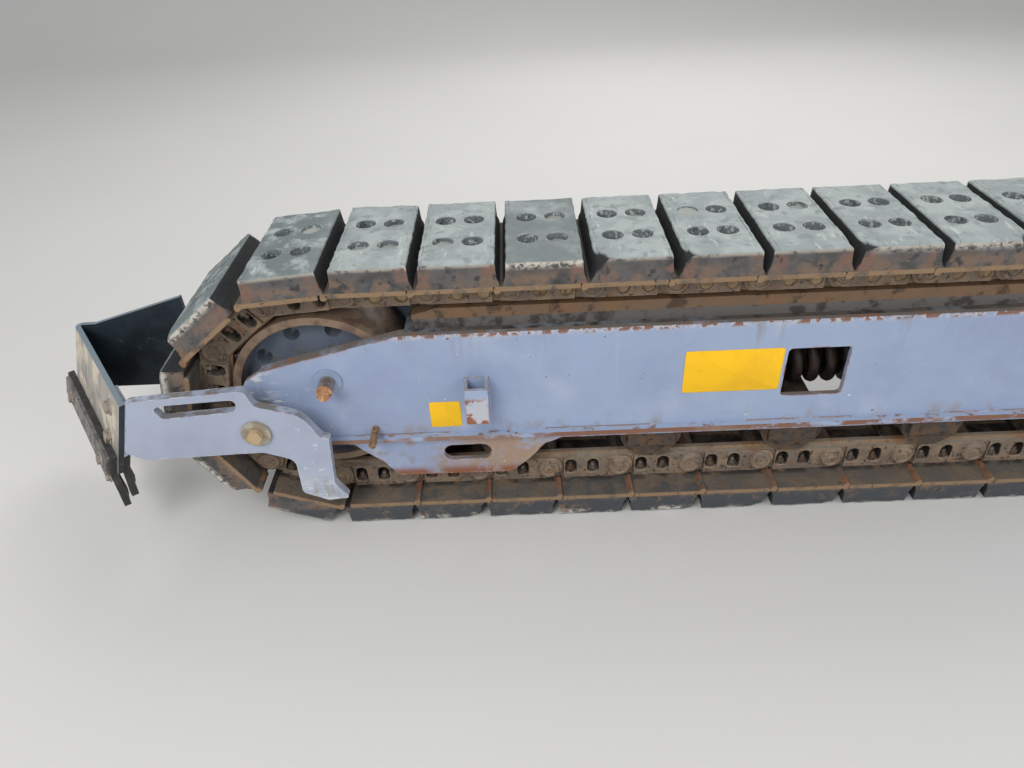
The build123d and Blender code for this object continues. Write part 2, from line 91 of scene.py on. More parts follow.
def linear(code):
    """Linear RGBA of an sRGB hex colour."""
    values = np.array([int(code[i:i + 2], 16) for i in (1, 3, 5)]) / 255
    low, high = values / 12.92, ((values + 0.055) / 1.055) ** 2.4
    return (*np.where(values <= 0.04045, low, high).tolist(), 1.0)


def shade(colour):
    """RGBA of an sRGB hex colour, or of a colour property."""
    return linear(colour) if isinstance(colour, str) else (*colour, 1.0)


class TrackSizes(bpy.types.PropertyGroup):
    pad_hole: bpy.props.FloatProperty(
        name="Pad hole", description="Diameter of the four holes in a pad", default=43 * MM, unit="LENGTH")
    pad_edge: bpy.props.FloatProperty(
        name="Pad edge", description="Rounding of a pad's worn edges", default=5 * MM, unit="LENGTH")
    pad_wear: bpy.props.FloatProperty(
        name="Pad wear", description="How far a pad's edge is worn off", default=1.6 * MM, unit="LENGTH")
    pin_end: bpy.props.FloatProperty(
        name="Pin end", description="Diameter of the pin ends of the chain", default=50 * MM, unit="LENGTH")
    wire: bpy.props.FloatProperty(
        name="Spring wire", description="Diameter of the recoil spring's wire", default=25 * MM,
        unit="LENGTH")


class TrackColours(bpy.types.PropertyGroup):
    frame: bpy.props.FloatVectorProperty(
        name="Frame paint", description="Paint of the side frame",
        default=linear("#95a4be")[:3], subtype="COLOR", min=0, max=1)
    deflector: bpy.props.FloatVectorProperty(
        name="Deflector paint", description="Paint of the deflector's arms",
        default=linear("#9fa7b9")[:3], subtype="COLOR", min=0, max=1)
    plates: bpy.props.FloatVectorProperty(
        name="Plates", description="Colour of the two blank plates",
        default=linear("#f3bd02")[:3], subtype="COLOR", min=0, max=1)
    rust: bpy.props.FloatVectorProperty(
        name="Rust", description="Rust on edges of painted steel",
        default=linear("#8a4f2c")[:3], subtype="COLOR", min=0, max=1)
    dust: bpy.props.FloatVectorProperty(
        name="Dust", description="Dry dust on top of the travel drive",
        default=linear("#9b968c")[:3], subtype="COLOR", min=0, max=1)
    floor: bpy.props.FloatVectorProperty(
        name="Floor", description="Studio floor",
        default=linear("#c9c7c3")[:3], subtype="COLOR", min=0, max=1)


def grid_faces(rows, columns, close_columns=False):
    """Quads between neighbouring rows and columns of a grid of points, row by row."""
    r, c = np.meshgrid(np.arange(rows - 1), np.arange(columns if close_columns else columns - 1),
                       indexing="ij")
    d = (c + 1) % columns
    quads = [r * columns + c, r * columns + d, (r + 1) * columns + d, (r + 1) * columns + c]
    return np.stack(quads, axis=-1).reshape(-1, 4).tolist()


def capped(rows, columns):
    """Faces of a grid whose columns close, with a face on its first and on its last row."""
    last = (rows - 1) * columns
    ends = [list(range(columns)), list(range(last, last + columns))]
    return grid_faces(rows, columns, close_columns=True) + ends


def ripple(points, size, seed):
    """Smooth unevenness about 0: a quarter of the sum of eight sine waves, about size long, in seeded
    directions."""
    rng = np.random.default_rng(seed)
    waves = rng.normal(size=(8, points.shape[-1]))
    waves *= 2 * pi / (size * np.linalg.norm(waves, axis=1, keepdims=True) * rng.uniform(0.6, 1.6, (8, 1)))
    return np.sin(points @ waves.T + rng.uniform(0, 2 * pi, 8)).sum(-1) / 4


def joined(parts):
    """One part, points and faces, from several."""
    points, faces, start = [], [], 0
    for p, f in parts:
        points.append(np.asarray(p, float).reshape(-1, 3))
        faces += [[start + i for i in face] for face in f]
        start += len(points[-1])
    return np.concatenate(points), faces


def add_piece(name, parts, body, make, replaces=(), crease=35, marks=None):
    """Object from (points, faces) parts that rides on a body: doubles merged, faces turned outwards.

    marks are values per point that the material reads."""
    points, faces = joined(parts)
    mesh = bpy.data.meshes.new(name)
    mesh.from_pydata(points.tolist(), [], faces)
    for key, values in (marks or {}).items():
        kind, field = ("FLOAT_VECTOR", "vector") if values.ndim == 2 else ("FLOAT", "value")
        layer = mesh.attributes.new(key, kind, "POINT")
        layer.data.foreach_set(field, values.astype(np.float32).ravel())
    work = bmesh.new()
    work.from_mesh(mesh)
    bmesh.ops.remove_doubles(work, verts=work.verts, dist=2e-6)
    bmesh.ops.recalc_face_normals(work, faces=work.faces)
    work.to_mesh(mesh)
    work.free()
    mesh.shade_smooth()
    mesh.set_sharp_from_angle(angle=radians(crease))
    mesh.materials.append(finish(make))
    piece = bpy.data.objects.new(name, mesh)
    bpy.context.scene.collection.objects.link(piece)
    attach(piece, body)
    if replaces:
        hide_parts(*replaces)


def across_at(outline, s):
    """Outline (a, b) set at s on the axis across it, as points (a, s, b)."""
    return np.column_stack([outline[:, 0], np.full(len(outline), s), outline[:, 1]])


def raised(outline, z):
    """Outline (a, b) at the height z, as points (a, b, z)."""
    return np.column_stack([outline, np.full(len(outline), z)])


def carried(profile, stations):
    """Closed profile (a, b) carried along a third axis and capped, as (points (a, s, b), faces).

    stations lists (s, shrink): at s the profile is drawn in towards its middle by shrink."""
    profile = np.asarray(profile, float)
    middle = (profile.max(0) + profile.min(0)) / 2
    half = (profile.max(0) - profile.min(0)) / 2
    rows = [across_at(middle + (profile - middle) * (half - shrink) / half, s) for s, shrink in stations]
    return np.concatenate(rows), capped(len(rows), len(profile))


def turned(profile, count):
    """Half section (radius, s) turned about the s axis in count steps, as (points (a, s, b), faces)."""
    profile = np.asarray(profile, float)
    angle = np.linspace(0, 2 * pi, count, endpoint=False)
    r, s = profile[:, :1], profile[:, 1:]
    points = np.stack([r * np.cos(angle), np.broadcast_to(s, (len(profile), count)), r * np.sin(angle)],
                      axis=-1)
    return points.reshape(-1, 3), grid_faces(len(profile), count, close_columns=True)


def tube(path, radius, sides):
    """Round bar along path: circles at right angles to it, of one radius or of one for each point."""
    path = np.asarray(path, float)
    along = np.gradient(path, axis=0)
    along /= np.linalg.norm(along, axis=1, keepdims=True)
    side = np.cross(along, (0.31, 0.2, 0.93))
    side /= np.linalg.norm(side, axis=1, keepdims=True)
    other = np.cross(along, side)
    angle = np.linspace(0, 2 * pi, sides, endpoint=False)[None, :, None]
    radius = np.broadcast_to(radius, len(path))[:, None, None]
    points = path[:, None] + radius * (np.cos(angle) * side[:, None] + np.sin(angle) * other[:, None])
    return points.reshape(-1, 3), capped(len(path), sides)


def bead(start, end, radius):
    """Weld bead from start to end: a bar whose radius swells at each ripple and is small at its ends."""
    start, end = np.asarray(start, float), np.asarray(end, float)
    length = np.linalg.norm(end - start)
    step, swelling = 2 * MM, 6 * MM
    t = np.linspace(0, 1, max(8, round(length / step)))
    swell = 0.85 + 0.15 * np.abs(np.sin(pi * t * length / swelling))
    swell[[0, -1]] = 0.3
    return tube(start + (end - start) * t[:, None], radius * swell, 6)


def screw(radius, head, washer=0.0):
    """Chamfered hexagonal head on s = 0, or on a washer 3 mm thick, as (points (a, s, b), faces)."""
    angle = np.arange(6) * pi / 3
    hexagon = radius * np.column_stack([np.cos(angle), np.sin(angle)])
    base = 3 * MM if washer else 0.0
    parts = [carried(hexagon, [(base, 0), (base + head - 1.5 * MM, 0), (base + head, 2 * MM)])]
    if washer:
        parts.append(turned([(washer, 0), (washer, 2.2 * MM), (washer - 0.8 * MM, base), (0, base)], 24))
    return joined(parts)


def set_on(part, place, ahead):
    """Part set with its s axis along ahead, from place."""
    points, faces = part
    ahead = np.asarray(ahead, float) / np.linalg.norm(ahead)
    side = np.cross(ahead, (0.0, 0.0, 1.0) if abs(ahead[2]) < 0.9 else (1.0, 0.0, 0.0))
    side /= np.linalg.norm(side)
    return points @ np.stack([side, ahead, np.cross(side, ahead)]) + np.asarray(place, float), faces


def pin_line(s):
    """Place (x, z) s pitches along the pin line: half a turn about the idler, the bottom run, half a
    turn about the sprocket and the top run."""
    s = np.asarray(s, float) % SHOES
    half, straight = TURN_LINKS / 2, (SPROCKET_X - IDLER_X) / PITCH
    turn = 2 * pi / TURN_LINKS
    front = pi / 2 + s * turn
    back = 3 * pi / 2 + (s - half - straight) * turn
    on = [s < half, s < half + straight, s < 2 * half + straight]
    x = np.select(on, [IDLER_X + PIN_RADIUS * np.cos(front), IDLER_X + (s - half) * PITCH,
                       SPROCKET_X + PIN_RADIUS * np.cos(back)],
                  SPROCKET_X - (s - 2 * half - straight) * PITCH)
    z = np.select(on, [AXLE_Z + PIN_RADIUS * np.sin(front), np.full_like(s, AXLE_Z - PIN_RADIUS),
                       AXLE_Z + PIN_RADIUS * np.sin(back)], AXLE_Z + PIN_RADIUS)
    return np.stack([x, z], axis=-1)


PINS = pin_line(PHASE + np.arange(SHOES))
NEXT_PINS = np.roll(PINS, -1, axis=0)


def on_links(points):
    """Points (u, y, v) of one link, or of each link in turn, set on all links: u along the track from
    the link's middle, v outwards from the pin line."""
    middle, along = (PINS + NEXT_PINS) / 2, NEXT_PINS - PINS
    along /= np.linalg.norm(along, axis=1, keepdims=True)
    u, y, v = points[..., 0], points[..., 1], points[..., 2]
    x = middle[:, :1] + u * along[:, :1] + v * along[:, 1:]
    z = middle[:, 1:] + u * along[:, 1:] - v * along[:, :1]
    return np.stack([x, y, z], axis=-1)


def mitred(points, start):
    """Points of one link, bent on all links so that the ends beyond start lie in the mitre planes at
    its pins: u moves by v times the tangent of half the chain's turn there."""
    along = NEXT_PINS - PINS
    heading = np.unwrap(np.arctan2(along[:, 1], along[:, 0]))
    turn = (heading - np.roll(heading, 1) + pi) % (2 * pi) - pi
    before, after = np.tan(turn / 2)[:, None], np.tan(np.roll(turn, -1) / 2)[:, None]
    u, y, v = points[:, 0], points[:, 1], points[:, 2]
    share = np.clip((np.abs(u) - start) / (PITCH / 2 - start), 0, 1)
    bent = u + share * v * np.where(u > 0, after, -before)
    return np.stack([bent, np.broadcast_to(y, bent.shape), np.broadcast_to(v, bent.shape)], axis=-1)


def add_link_piece(name, shapes, slot, make, replaces=(), crease=35, chosen=slice(None)):
    """Piece of the shapes (points, faces) of one link, or of each link in turn, on the chosen links.

    It is marked with each point's place in its link's frame in millimetres, and with a number per link."""
    number = np.random.default_rng(7).random(SHOES)[chosen]
    parts, local, each = [], [], []
    for points, faces in shapes:
        points = np.broadcast_to(points, (SHOES, *np.shape(points)[-2:]))
        placed, points = on_links(points)[chosen], points[chosen]
        n = points.shape[1]
        parts.append((placed.reshape(-1, 3),
                      [[k * n + i for i in face] for k in range(len(points)) for face in faces]))
        local.append(points.reshape(-1, 3) / MM)
        each.append(np.repeat(number, n))
    marks = {"local": np.concatenate(local), "each": np.concatenate(each)}
    add_piece(name, parts, "track_unit", make, replaces, crease, marks)


def add(tree, kind, sockets=None, **settings):
    """Node of a kind, with its settings, and its sockets linked to outputs or set to values."""
    node = tree.nodes.new(kind)
    for key, value in settings.items():
        setattr(node, key, value)
    for key, value in (sockets or {}).items():
        if isinstance(value, bpy.types.NodeSocket):
            tree.links.new(value, node.inputs[key])
        else:
            node.inputs[key].default_value = value
    return node


def number_math(tree, operation, *values):
    """Result of an operation on numbers."""
    return add(tree, "ShaderNodeMath", dict(enumerate(values)), operation=operation).outputs["Value"]


def vector_math(tree, operation, *values):
    """Result of an operation on vectors: a number where it measures, and otherwise a vector."""
    node = add(tree, "ShaderNodeVectorMath", dict(enumerate(values)), operation=operation)
    return node.outputs["Value" if operation in ("DOT_PRODUCT", "LENGTH") else "Vector"]


def stretch(tree, value, low, high):
    """0 at low, 1 at high, smooth between."""
    ramp = add(tree, "ShaderNodeMapRange", {0: value, 1: low, 2: high}, interpolation_type="SMOOTHSTEP")
    return ramp.outputs[0]


def patches(size, low, high, seed, detail=6.0, stretched=(1.0, 1.0, 1.0)):
    """Mask of uneven patches about size millimetres across, drawn out along axes of a small factor."""
    def mask(tree):
        place = add(tree, "ShaderNodeTexCoord").outputs["Object"]
        drawn = vector_math(tree, "MULTIPLY", place, stretched)
        moved = vector_math(tree, "ADD", drawn, (seed, seed * 1.7, seed * 2.3))
        noise = add(tree, "ShaderNodeTexNoise", {"Vector": moved, "Scale": 1 / (size * MM),
                                                 "Detail": detail, "Roughness": 0.6})
        return stretch(tree, noise.outputs["Fac"], low, high)
    return mask


def facing(direction, low=0.35, high=0.9):
    """Mask of what faces in a direction."""
    def mask(tree):
        normal = add(tree, "ShaderNodeTexCoord").outputs["Normal"]
        return stretch(tree, vector_math(tree, "DOT_PRODUCT", normal, direction), low, high)
    return mask


def along_axis(axis, low, high):
    """Mask that grows along an axis of the frame from low to high, in millimetres."""
    def mask(tree):
        split = add(tree, "ShaderNodeSeparateXYZ", {0: add(tree, "ShaderNodeTexCoord").outputs["Object"]})
        return stretch(tree, split.outputs[axis], low * MM, high * MM)
    return mask


def in_link(axis, low, high, middle=None):
    """Mask that grows along an axis of a link's own frame, or with the distance from middle, in
    millimetres: X along the track, Y across it, Z outwards."""
    def mask(tree):
        place = add(tree, "ShaderNodeAttribute", attribute_name="local").outputs["Vector"]
        value = add(tree, "ShaderNodeSeparateXYZ", {0: place}).outputs[axis]
        if middle is not None:
            value = number_math(tree, "ABSOLUTE", number_math(tree, "SUBTRACT", value, middle))
        return stretch(tree, value, low, high)
    return mask


def by_link(low, high):
    """Mask that differs from link to link."""
    def mask(tree):
        number = add(tree, "ShaderNodeAttribute", attribute_name="each").outputs["Fac"]
        return stretch(tree, number, low, high)
    return mask


def from_axle(low, high):
    """Mask that grows with the distance from the idler's axle, in millimetres."""
    def mask(tree):
        place = add(tree, "ShaderNodeTexCoord").outputs["Object"]
        off = vector_math(tree, "SUBTRACT", place, (IDLER_X, 0, AXLE_Z))
        flat = vector_math(tree, "MULTIPLY", off, (1, 0, 1))
        return stretch(tree, vector_math(tree, "LENGTH", flat), low * MM, high * MM)
    return mask


def edges(radius):
    """Mask within radius millimetres of an edge, where a rounded normal leaves the true one."""
    def mask(tree):
        rounded = add(tree, "ShaderNodeBevel", {"Radius": radius * MM}, samples=4)
        true = add(tree, "ShaderNodeNewGeometry").outputs["Normal"]
        return stretch(tree, vector_math(tree, "DOT_PRODUCT", rounded.outputs[0], true), 0.995, 0.9)
    return mask


def both(*masks):
    """Product of masks."""
    def mask(tree):
        out = masks[0](tree)
        for other in masks[1:]:
            out = number_math(tree, "MULTIPLY", out, other(tree))
        return out
    return mask


def finish(make):
    """The material that make describes, built once and named after it.

    make gives a base under layers (colour, roughness, masks), and bumps (millimetres, masks), each as
    strong as the product of its masks."""
    found = bpy.data.materials.get(make.__name__)
    if found:
        return found
    wanted = make(bpy.context.scene.track_colours)
    material = bpy.data.materials.new(make.__name__)
    material.use_nodes = True
    tree = material.node_tree
    shader = tree.nodes["Principled BSDF"]
    colour, rough = shade(wanted["base"]), wanted["roughness"]
    for over, over_rough, *masks in wanted["layers"]:
        share, over = both(*masks)(tree), shade(over)
        colour = add(tree, "ShaderNodeMix", {0: share, 6: colour, 7: over}, data_type="RGBA").outputs[2]
        rough = add(tree, "ShaderNodeMix", {0: share, 2: rough, 3: over_rough}).outputs[0]
    tree.links.new(colour, shader.inputs["Base Color"])
    tree.links.new(rough, shader.inputs["Roughness"])
    shader.inputs["Metallic"].default_value = wanted.get("metallic", 0.0)
    for depth, *masks in wanted.get("bumps", ()):
        sockets = {"Height": both(*masks)(tree), "Distance": depth * MM, "Strength": 1.0}
        if shader.inputs["Normal"].is_linked:
            sockets["Normal"] = shader.inputs["Normal"].links[0].from_socket
        tree.links.new(add(tree, "ShaderNodeBump", sockets).outputs[0], shader.inputs["Normal"])
    return material


def satin_enamel_on_plate(colours):
    """Enamel sprayed on plate: even, half glossy, chipped to primer and rust on edges, dirty on top."""
    chip = patches(42, 0.46, 0.54, 2.0)
    return dict(base=colours.frame, roughness=0.42, layers=[
        ("#8994b0", 0.45, patches(420, 0.35, 0.7, 1.0)),
        ("#a0abc0", 0.45, patches(150, 0.5, 0.75, 20.0)),
        ("#a4abb8", 0.6, patches(30, 0.6, 0.78, 3.0, stretched=(1.0, 1.0, 0.08))),
        ("#8b8178", 0.85, along_axis(Z, 300, 236), patches(60, 0.5, 0.68, 9.0)),
        ("#98816f", 0.85, along_axis(Z, 236, 226), along_axis(X, -1060, -860), along_axis(X, -700, -760),
         patches(80, 0.36, 0.56, 10.0)),
        ("#80513a", 0.85, along_axis(Z, 156, 130), patches(70, 0.3, 0.5, 12.0)),
        ("#d9d9da", 0.6, along_axis(X, -1230, -1330), along_axis(Z, 330, 350), along_axis(Z, 400, 380),
         patches(26, 0.55, 0.6, 26.0, stretched=(0.4, 1.0, 1.0))),
        ("#d3d3d6", 0.6, along_axis(X, -1300, -1400), along_axis(Z, 300, 330),
         patches(16, 0.53, 0.59, 19.0, stretched=(0.3, 1.0, 1.0))),
        ("#a9abb3", 0.6, edges(8), patches(42, 0.42, 0.5, 2.0)),
        (colours.rust, 0.85, edges(7), chip),
        ("#b4b3ba", 0.6, facing(OUT), along_axis(Z, 500, 510), patches(27, 0.43, 0.48, 22.0)),
        ("#7b5a4e", 0.85, facing(OUT), along_axis(Z, 501, 510), patches(27, 0.49, 0.54, 22.0)),
        ("#8b8f9a", 0.6, facing(OUT), along_axis(Z, 400, 505),
         patches(34, 0.56, 0.7, 25.0, stretched=(1.0, 1.0, 0.1))),
        ("#a5a3a8", 0.6, patches(16, 0.685, 0.71, 5.0, detail=3.0)),
        ("#7f6258", 0.7, patches(16, 0.7, 0.725, 5.0, detail=3.0)),
        ("#77452c", 0.85, patches(16, 0.72, 0.745, 5.0, detail=3.0)),
        ("#c3c5cb", 0.6, patches(22, 0.73, 0.75, 23.0, detail=2.0)),
        ("#6d665f", 0.9, facing(UP), patches(120, 0.3, 0.5, 4.0)),
        ("#85604a", 0.9, facing(UP), patches(28, 0.54, 0.64, 8.0)),
    ], bumps=[(0.12, patches(6, 0.3, 0.7, 7.0)), (-0.25, edges(7), chip)])


def enamelled_ledge(colours):
    """The same enamel on the narrow ledge: rubbed to rust along its front, dusty on top."""
    return dict(base=colours.frame, roughness=0.45, layers=[
        ("#98a2b4", 0.6, facing(UP), patches(50, 0.4, 0.6, 171.0)),
        ("#7d614e", 0.85, facing(UP), patches(30, 0.56, 0.66, 172.0)),
        ("#84695b", 0.85, facing(OUT), patches(110, 0.4, 0.56, 173.0)),
        ("#8d6a58", 0.85, facing(OUT), patches(30, 0.54, 0.66, 174.0)),
        ("#7c5746", 0.85, facing(OUT), along_axis(X, -900, -700), patches(60, 0.4, 0.5, 176.0)),
    ], bumps=[(0.3, patches(9, 0.3, 0.7, 175.0))])


def greasy_enamel(colours):
    """Enamel under grease and caked dirt, nearly black in places, where nobody wipes."""
    return dict(base="#6a6e73", roughness=0.7, layers=[
        ("#4d4742", 0.75, patches(110, 0.38, 0.56, 181.0)),
        ("#33302e", 0.6, patches(40, 0.5, 0.62, 182.0)),
        ("#7c6250", 0.9, patches(60, 0.58, 0.7, 183.0)),
    ], bumps=[(0.8, patches(12, 0.3, 0.7, 184.0))])


def chipped_socket_enamel(colours):
    """Enamel on the square socket, knocked through to pale primer and rust on its front."""
    front = both(along_axis(Y, -160, -166), along_axis(Z, 385, 372))
    return dict(base=colours.frame, roughness=0.5, layers=[
        ("#b3b4bb", 0.6, front, patches(36, 0.36, 0.46, 191.0)),
        ("#8f5a44", 0.85, front, patches(30, 0.48, 0.55, 192.0)),
        ("#7d5645", 0.85, edges(4), patches(20, 0.46, 0.56, 193.0)),
        ("#8d8a88", 0.8, facing(UP), patches(30, 0.4, 0.6, 194.0)),
    ])


def scratched_enamel_on_plate(colours):
    """The same enamel on the deflector's arms, a little paler, scratched where the tail drags."""
    return dict(base=colours.deflector, roughness=0.42, layers=[
        ("#939aac", 0.5, patches(160, 0.35, 0.7, 11.0)),
        ("#cfd0d2", 0.5, along_axis(X, -1330, -1260),
         patches(7, 0.62, 0.69, 12.0, stretched=(0.2, 1.0, 0.6))),
        ("#97918b", 0.7, along_axis(Z, 240, 130), patches(14, 0.5, 0.62, 13.0, stretched=(1.0, 1.0, 0.25))),
        ("#b7bbc0", 0.5, along_axis(Z, 230, 160), patches(40, 0.45, 0.6, 24.0, stretched=(0.5, 1.0, 1.0))),
        ("#73706e", 0.8, facing(UP), patches(50, 0.42, 0.58, 17.0)),
        ("#c9c8c6", 0.5, edges(4), patches(30, 0.47, 0.56, 14.0)),
        (colours.rust, 0.85, edges(4), patches(22, 0.56, 0.6, 15.0)),
        ("#6f4630", 0.85, patches(12, 0.75, 0.77, 16.0, detail=3.0)),
    ], bumps=[(0.12, patches(6, 0.3, 0.7, 18.0))])


def board_enamel_and_painted_light(colours):
    """Board: paint rubbed to pale, sandy steel in front, with painted sunlit patches and painted shade
    lower down; dark behind and at its ends as painted shade; bare along its top.
    """
    front = facing(BOARD_AHEAD, 0.82, 0.92)
    # The dark blue-grey base, with its darker and paler patches, is painted shade on the board's back and
    # ends; the front layer covers it.
    return dict(base="#27323a", roughness=0.5, metallic=0.1, layers=[
        ("#1a2228", 0.5, patches(80, 0.4, 0.6, 21.0)),
        ("#3d4649", 0.6, patches(24, 0.6, 0.7, 25.0)),
        ("#6f7c83", 0.5, along_axis(Z, 402, 412), facing(UP)),
        ("#a29b90", 0.5, front),
        # Painted sunlight: pale beige patches on the front.
        ("#c9bda8", 0.55, front, patches(90, 0.5, 0.58, 23.0)),
        ("#85807a", 0.6, front, patches(26, 0.5, 0.64, 22.0, stretched=(1.0, 1.0, 0.12))),
        # Painted shade: the front greyer lower down.
        ("#6a6c6c", 0.6, front, along_axis(Z, 300, 250), patches(50, 0.35, 0.55, 26.0)),
    ], bumps=[(0.5, patches(40, 0.3, 0.7, 27.0))])


def rusted_forged_steel_and_painted_light(colours):
    """Forged links: brown rust under dry caked dust. The windows are painted dark inside as shade, but for
    the dusty front of the returning run, whose dust is painted lighter against the shade there."""
    inside = both(in_link(Y, 84, 82, 0), in_link(Y, 54.6, 56, 0), in_link(Z, 20, 18),
                  in_link(Z, -28, -24), in_link(X, 52, 48, 0))
    return dict(base="#76675a", roughness=0.85, metallic=0.1, layers=[
        ("#8a7763", 0.9, patches(60, 0.4, 0.62, 31.0)),
        ("#875f42", 0.9, patches(24, 0.58, 0.68, 32.0)),
        ("#4e4239", 0.9, patches(11, 0.56, 0.64, 33.0)),
        ("#8d6742", 0.7, in_link(Z, -29, -31), patches(70, 0.36, 0.56, 37.0)),
        # Painted shade: the window walls dark inside.
        ("#241e19", 0.9, inside),
        # In the returning run the windows are dusty, painted lighter against the shade there.
        ("#9b8166", 0.95, inside, along_axis(Z, 540, 560), along_axis(X, -1330, -1200)),
        ("#a08a6e", 0.75, edges(4), patches(30, 0.42, 0.58, 34.0)),
        ("#8c8071", 0.95, facing(UP, 0.5, 0.95), patches(50, 0.35, 0.6, 35.0)),
    ], bumps=[(0.8, patches(9, 0.3, 0.7, 36.0)), (0.3, patches(3, 0.35, 0.65, 38.0))])


def caked_road_dirt(colours):
    """Dust and bitumen caked to a crust: light tan, cracked, with dark grains."""
    return dict(base="#8b745a", roughness=0.95, layers=[
        ("#a58c6b", 0.95, patches(30, 0.42, 0.6, 241.0)),
        ("#5f4c3a", 0.9, patches(12, 0.55, 0.66, 242.0)),
        ("#3a2f27", 0.9, patches(5, 0.64, 0.7, 243.0)),
    ], bumps=[(1.2, patches(6, 0.3, 0.7, 244.0)), (1.5, patches(14, 0.3, 0.7, 245.0))])


def rubbed_wear_rail(colours):
    """Wear rail on the top plate: rubbed yellow-brown under the chain, greasy at its foot."""
    top = along_axis(Z, 536, 541)
    return dict(base="#5c5855", roughness=0.7, layers=[
        ("#3a3431", 0.6, patches(40, 0.5, 0.62, 221.0)),
        ("#6e5742", 0.6, top),
        ("#75583d", 0.6, top, patches(70, 0.45, 0.6, 222.0)),
        ("#4b3a2c", 0.8, top, patches(40, 0.52, 0.62, 223.0)),
    ], bumps=[(0.5, patches(12, 0.3, 0.7, 224.0))])


def grimed_steel(colours):
    """Steel inside the frame, black-brown with old grease and grit."""
    return dict(base="#4a4038", roughness=0.75, metallic=0.2, layers=[
        ("#5f4a38", 0.85, patches(40, 0.45, 0.6, 201.0)),
        ("#2e2823", 0.6, patches(16, 0.52, 0.64, 202.0)),
    ], bumps=[(0.5, patches(9, 0.3, 0.7, 203.0))])


def spring_steel_in_painted_shade(colours):
    """Spring steel in the dark of the frame, painted near black as the shade there, brown where oil has
    dried.
    """
    # The near black base is painted shade inside the frame.
    return dict(base="#241f1b", roughness=0.5, metallic=0.3, layers=[
        ("#3a2a1f", 0.75, patches(36, 0.45, 0.6, 251.0)),
        ("#171412", 0.4, patches(12, 0.56, 0.66, 252.0)),
    ], bumps=[(0.4, patches(9, 0.3, 0.7, 253.0))])


def rusted_shoe_plate(colours):
    """Rolled shoe plate: dark scale and oil under dust, rust on the lip at each seam and at the outer
    end."""
    seam = both(in_link(Z, 41.5, 39), in_link(X, 98, 101))
    return dict(base="#5b554e", roughness=0.8, metallic=0.1, layers=[
        ("#4e4d4b", 0.7, by_link(0.55, 0.6)),
        ("#6b5e50", 0.85, patches(70, 0.42, 0.6, 41.0)),
        ("#37322e", 0.6, in_link(Y, 106, 92, 0), patches(40, 0.38, 0.56, 46.0)),
        ("#74503a", 0.9, patches(22, 0.6, 0.68, 42.0)),
        ("#7f583d", 0.9, seam, patches(50, 0.42, 0.56, 47.0)),
        ("#6b4a35", 0.9, seam, patches(16, 0.5, 0.62, 48.0)),
        ("#8a7157", 0.9, in_link(Y, 150, 152, 0), patches(30, 0.3, 0.5, 43.0)),
        ("#2f2a26", 0.9, patches(10, 0.62, 0.7, 44.0)),
    ], bumps=[(0.8, patches(12, 0.3, 0.7, 45.0))])


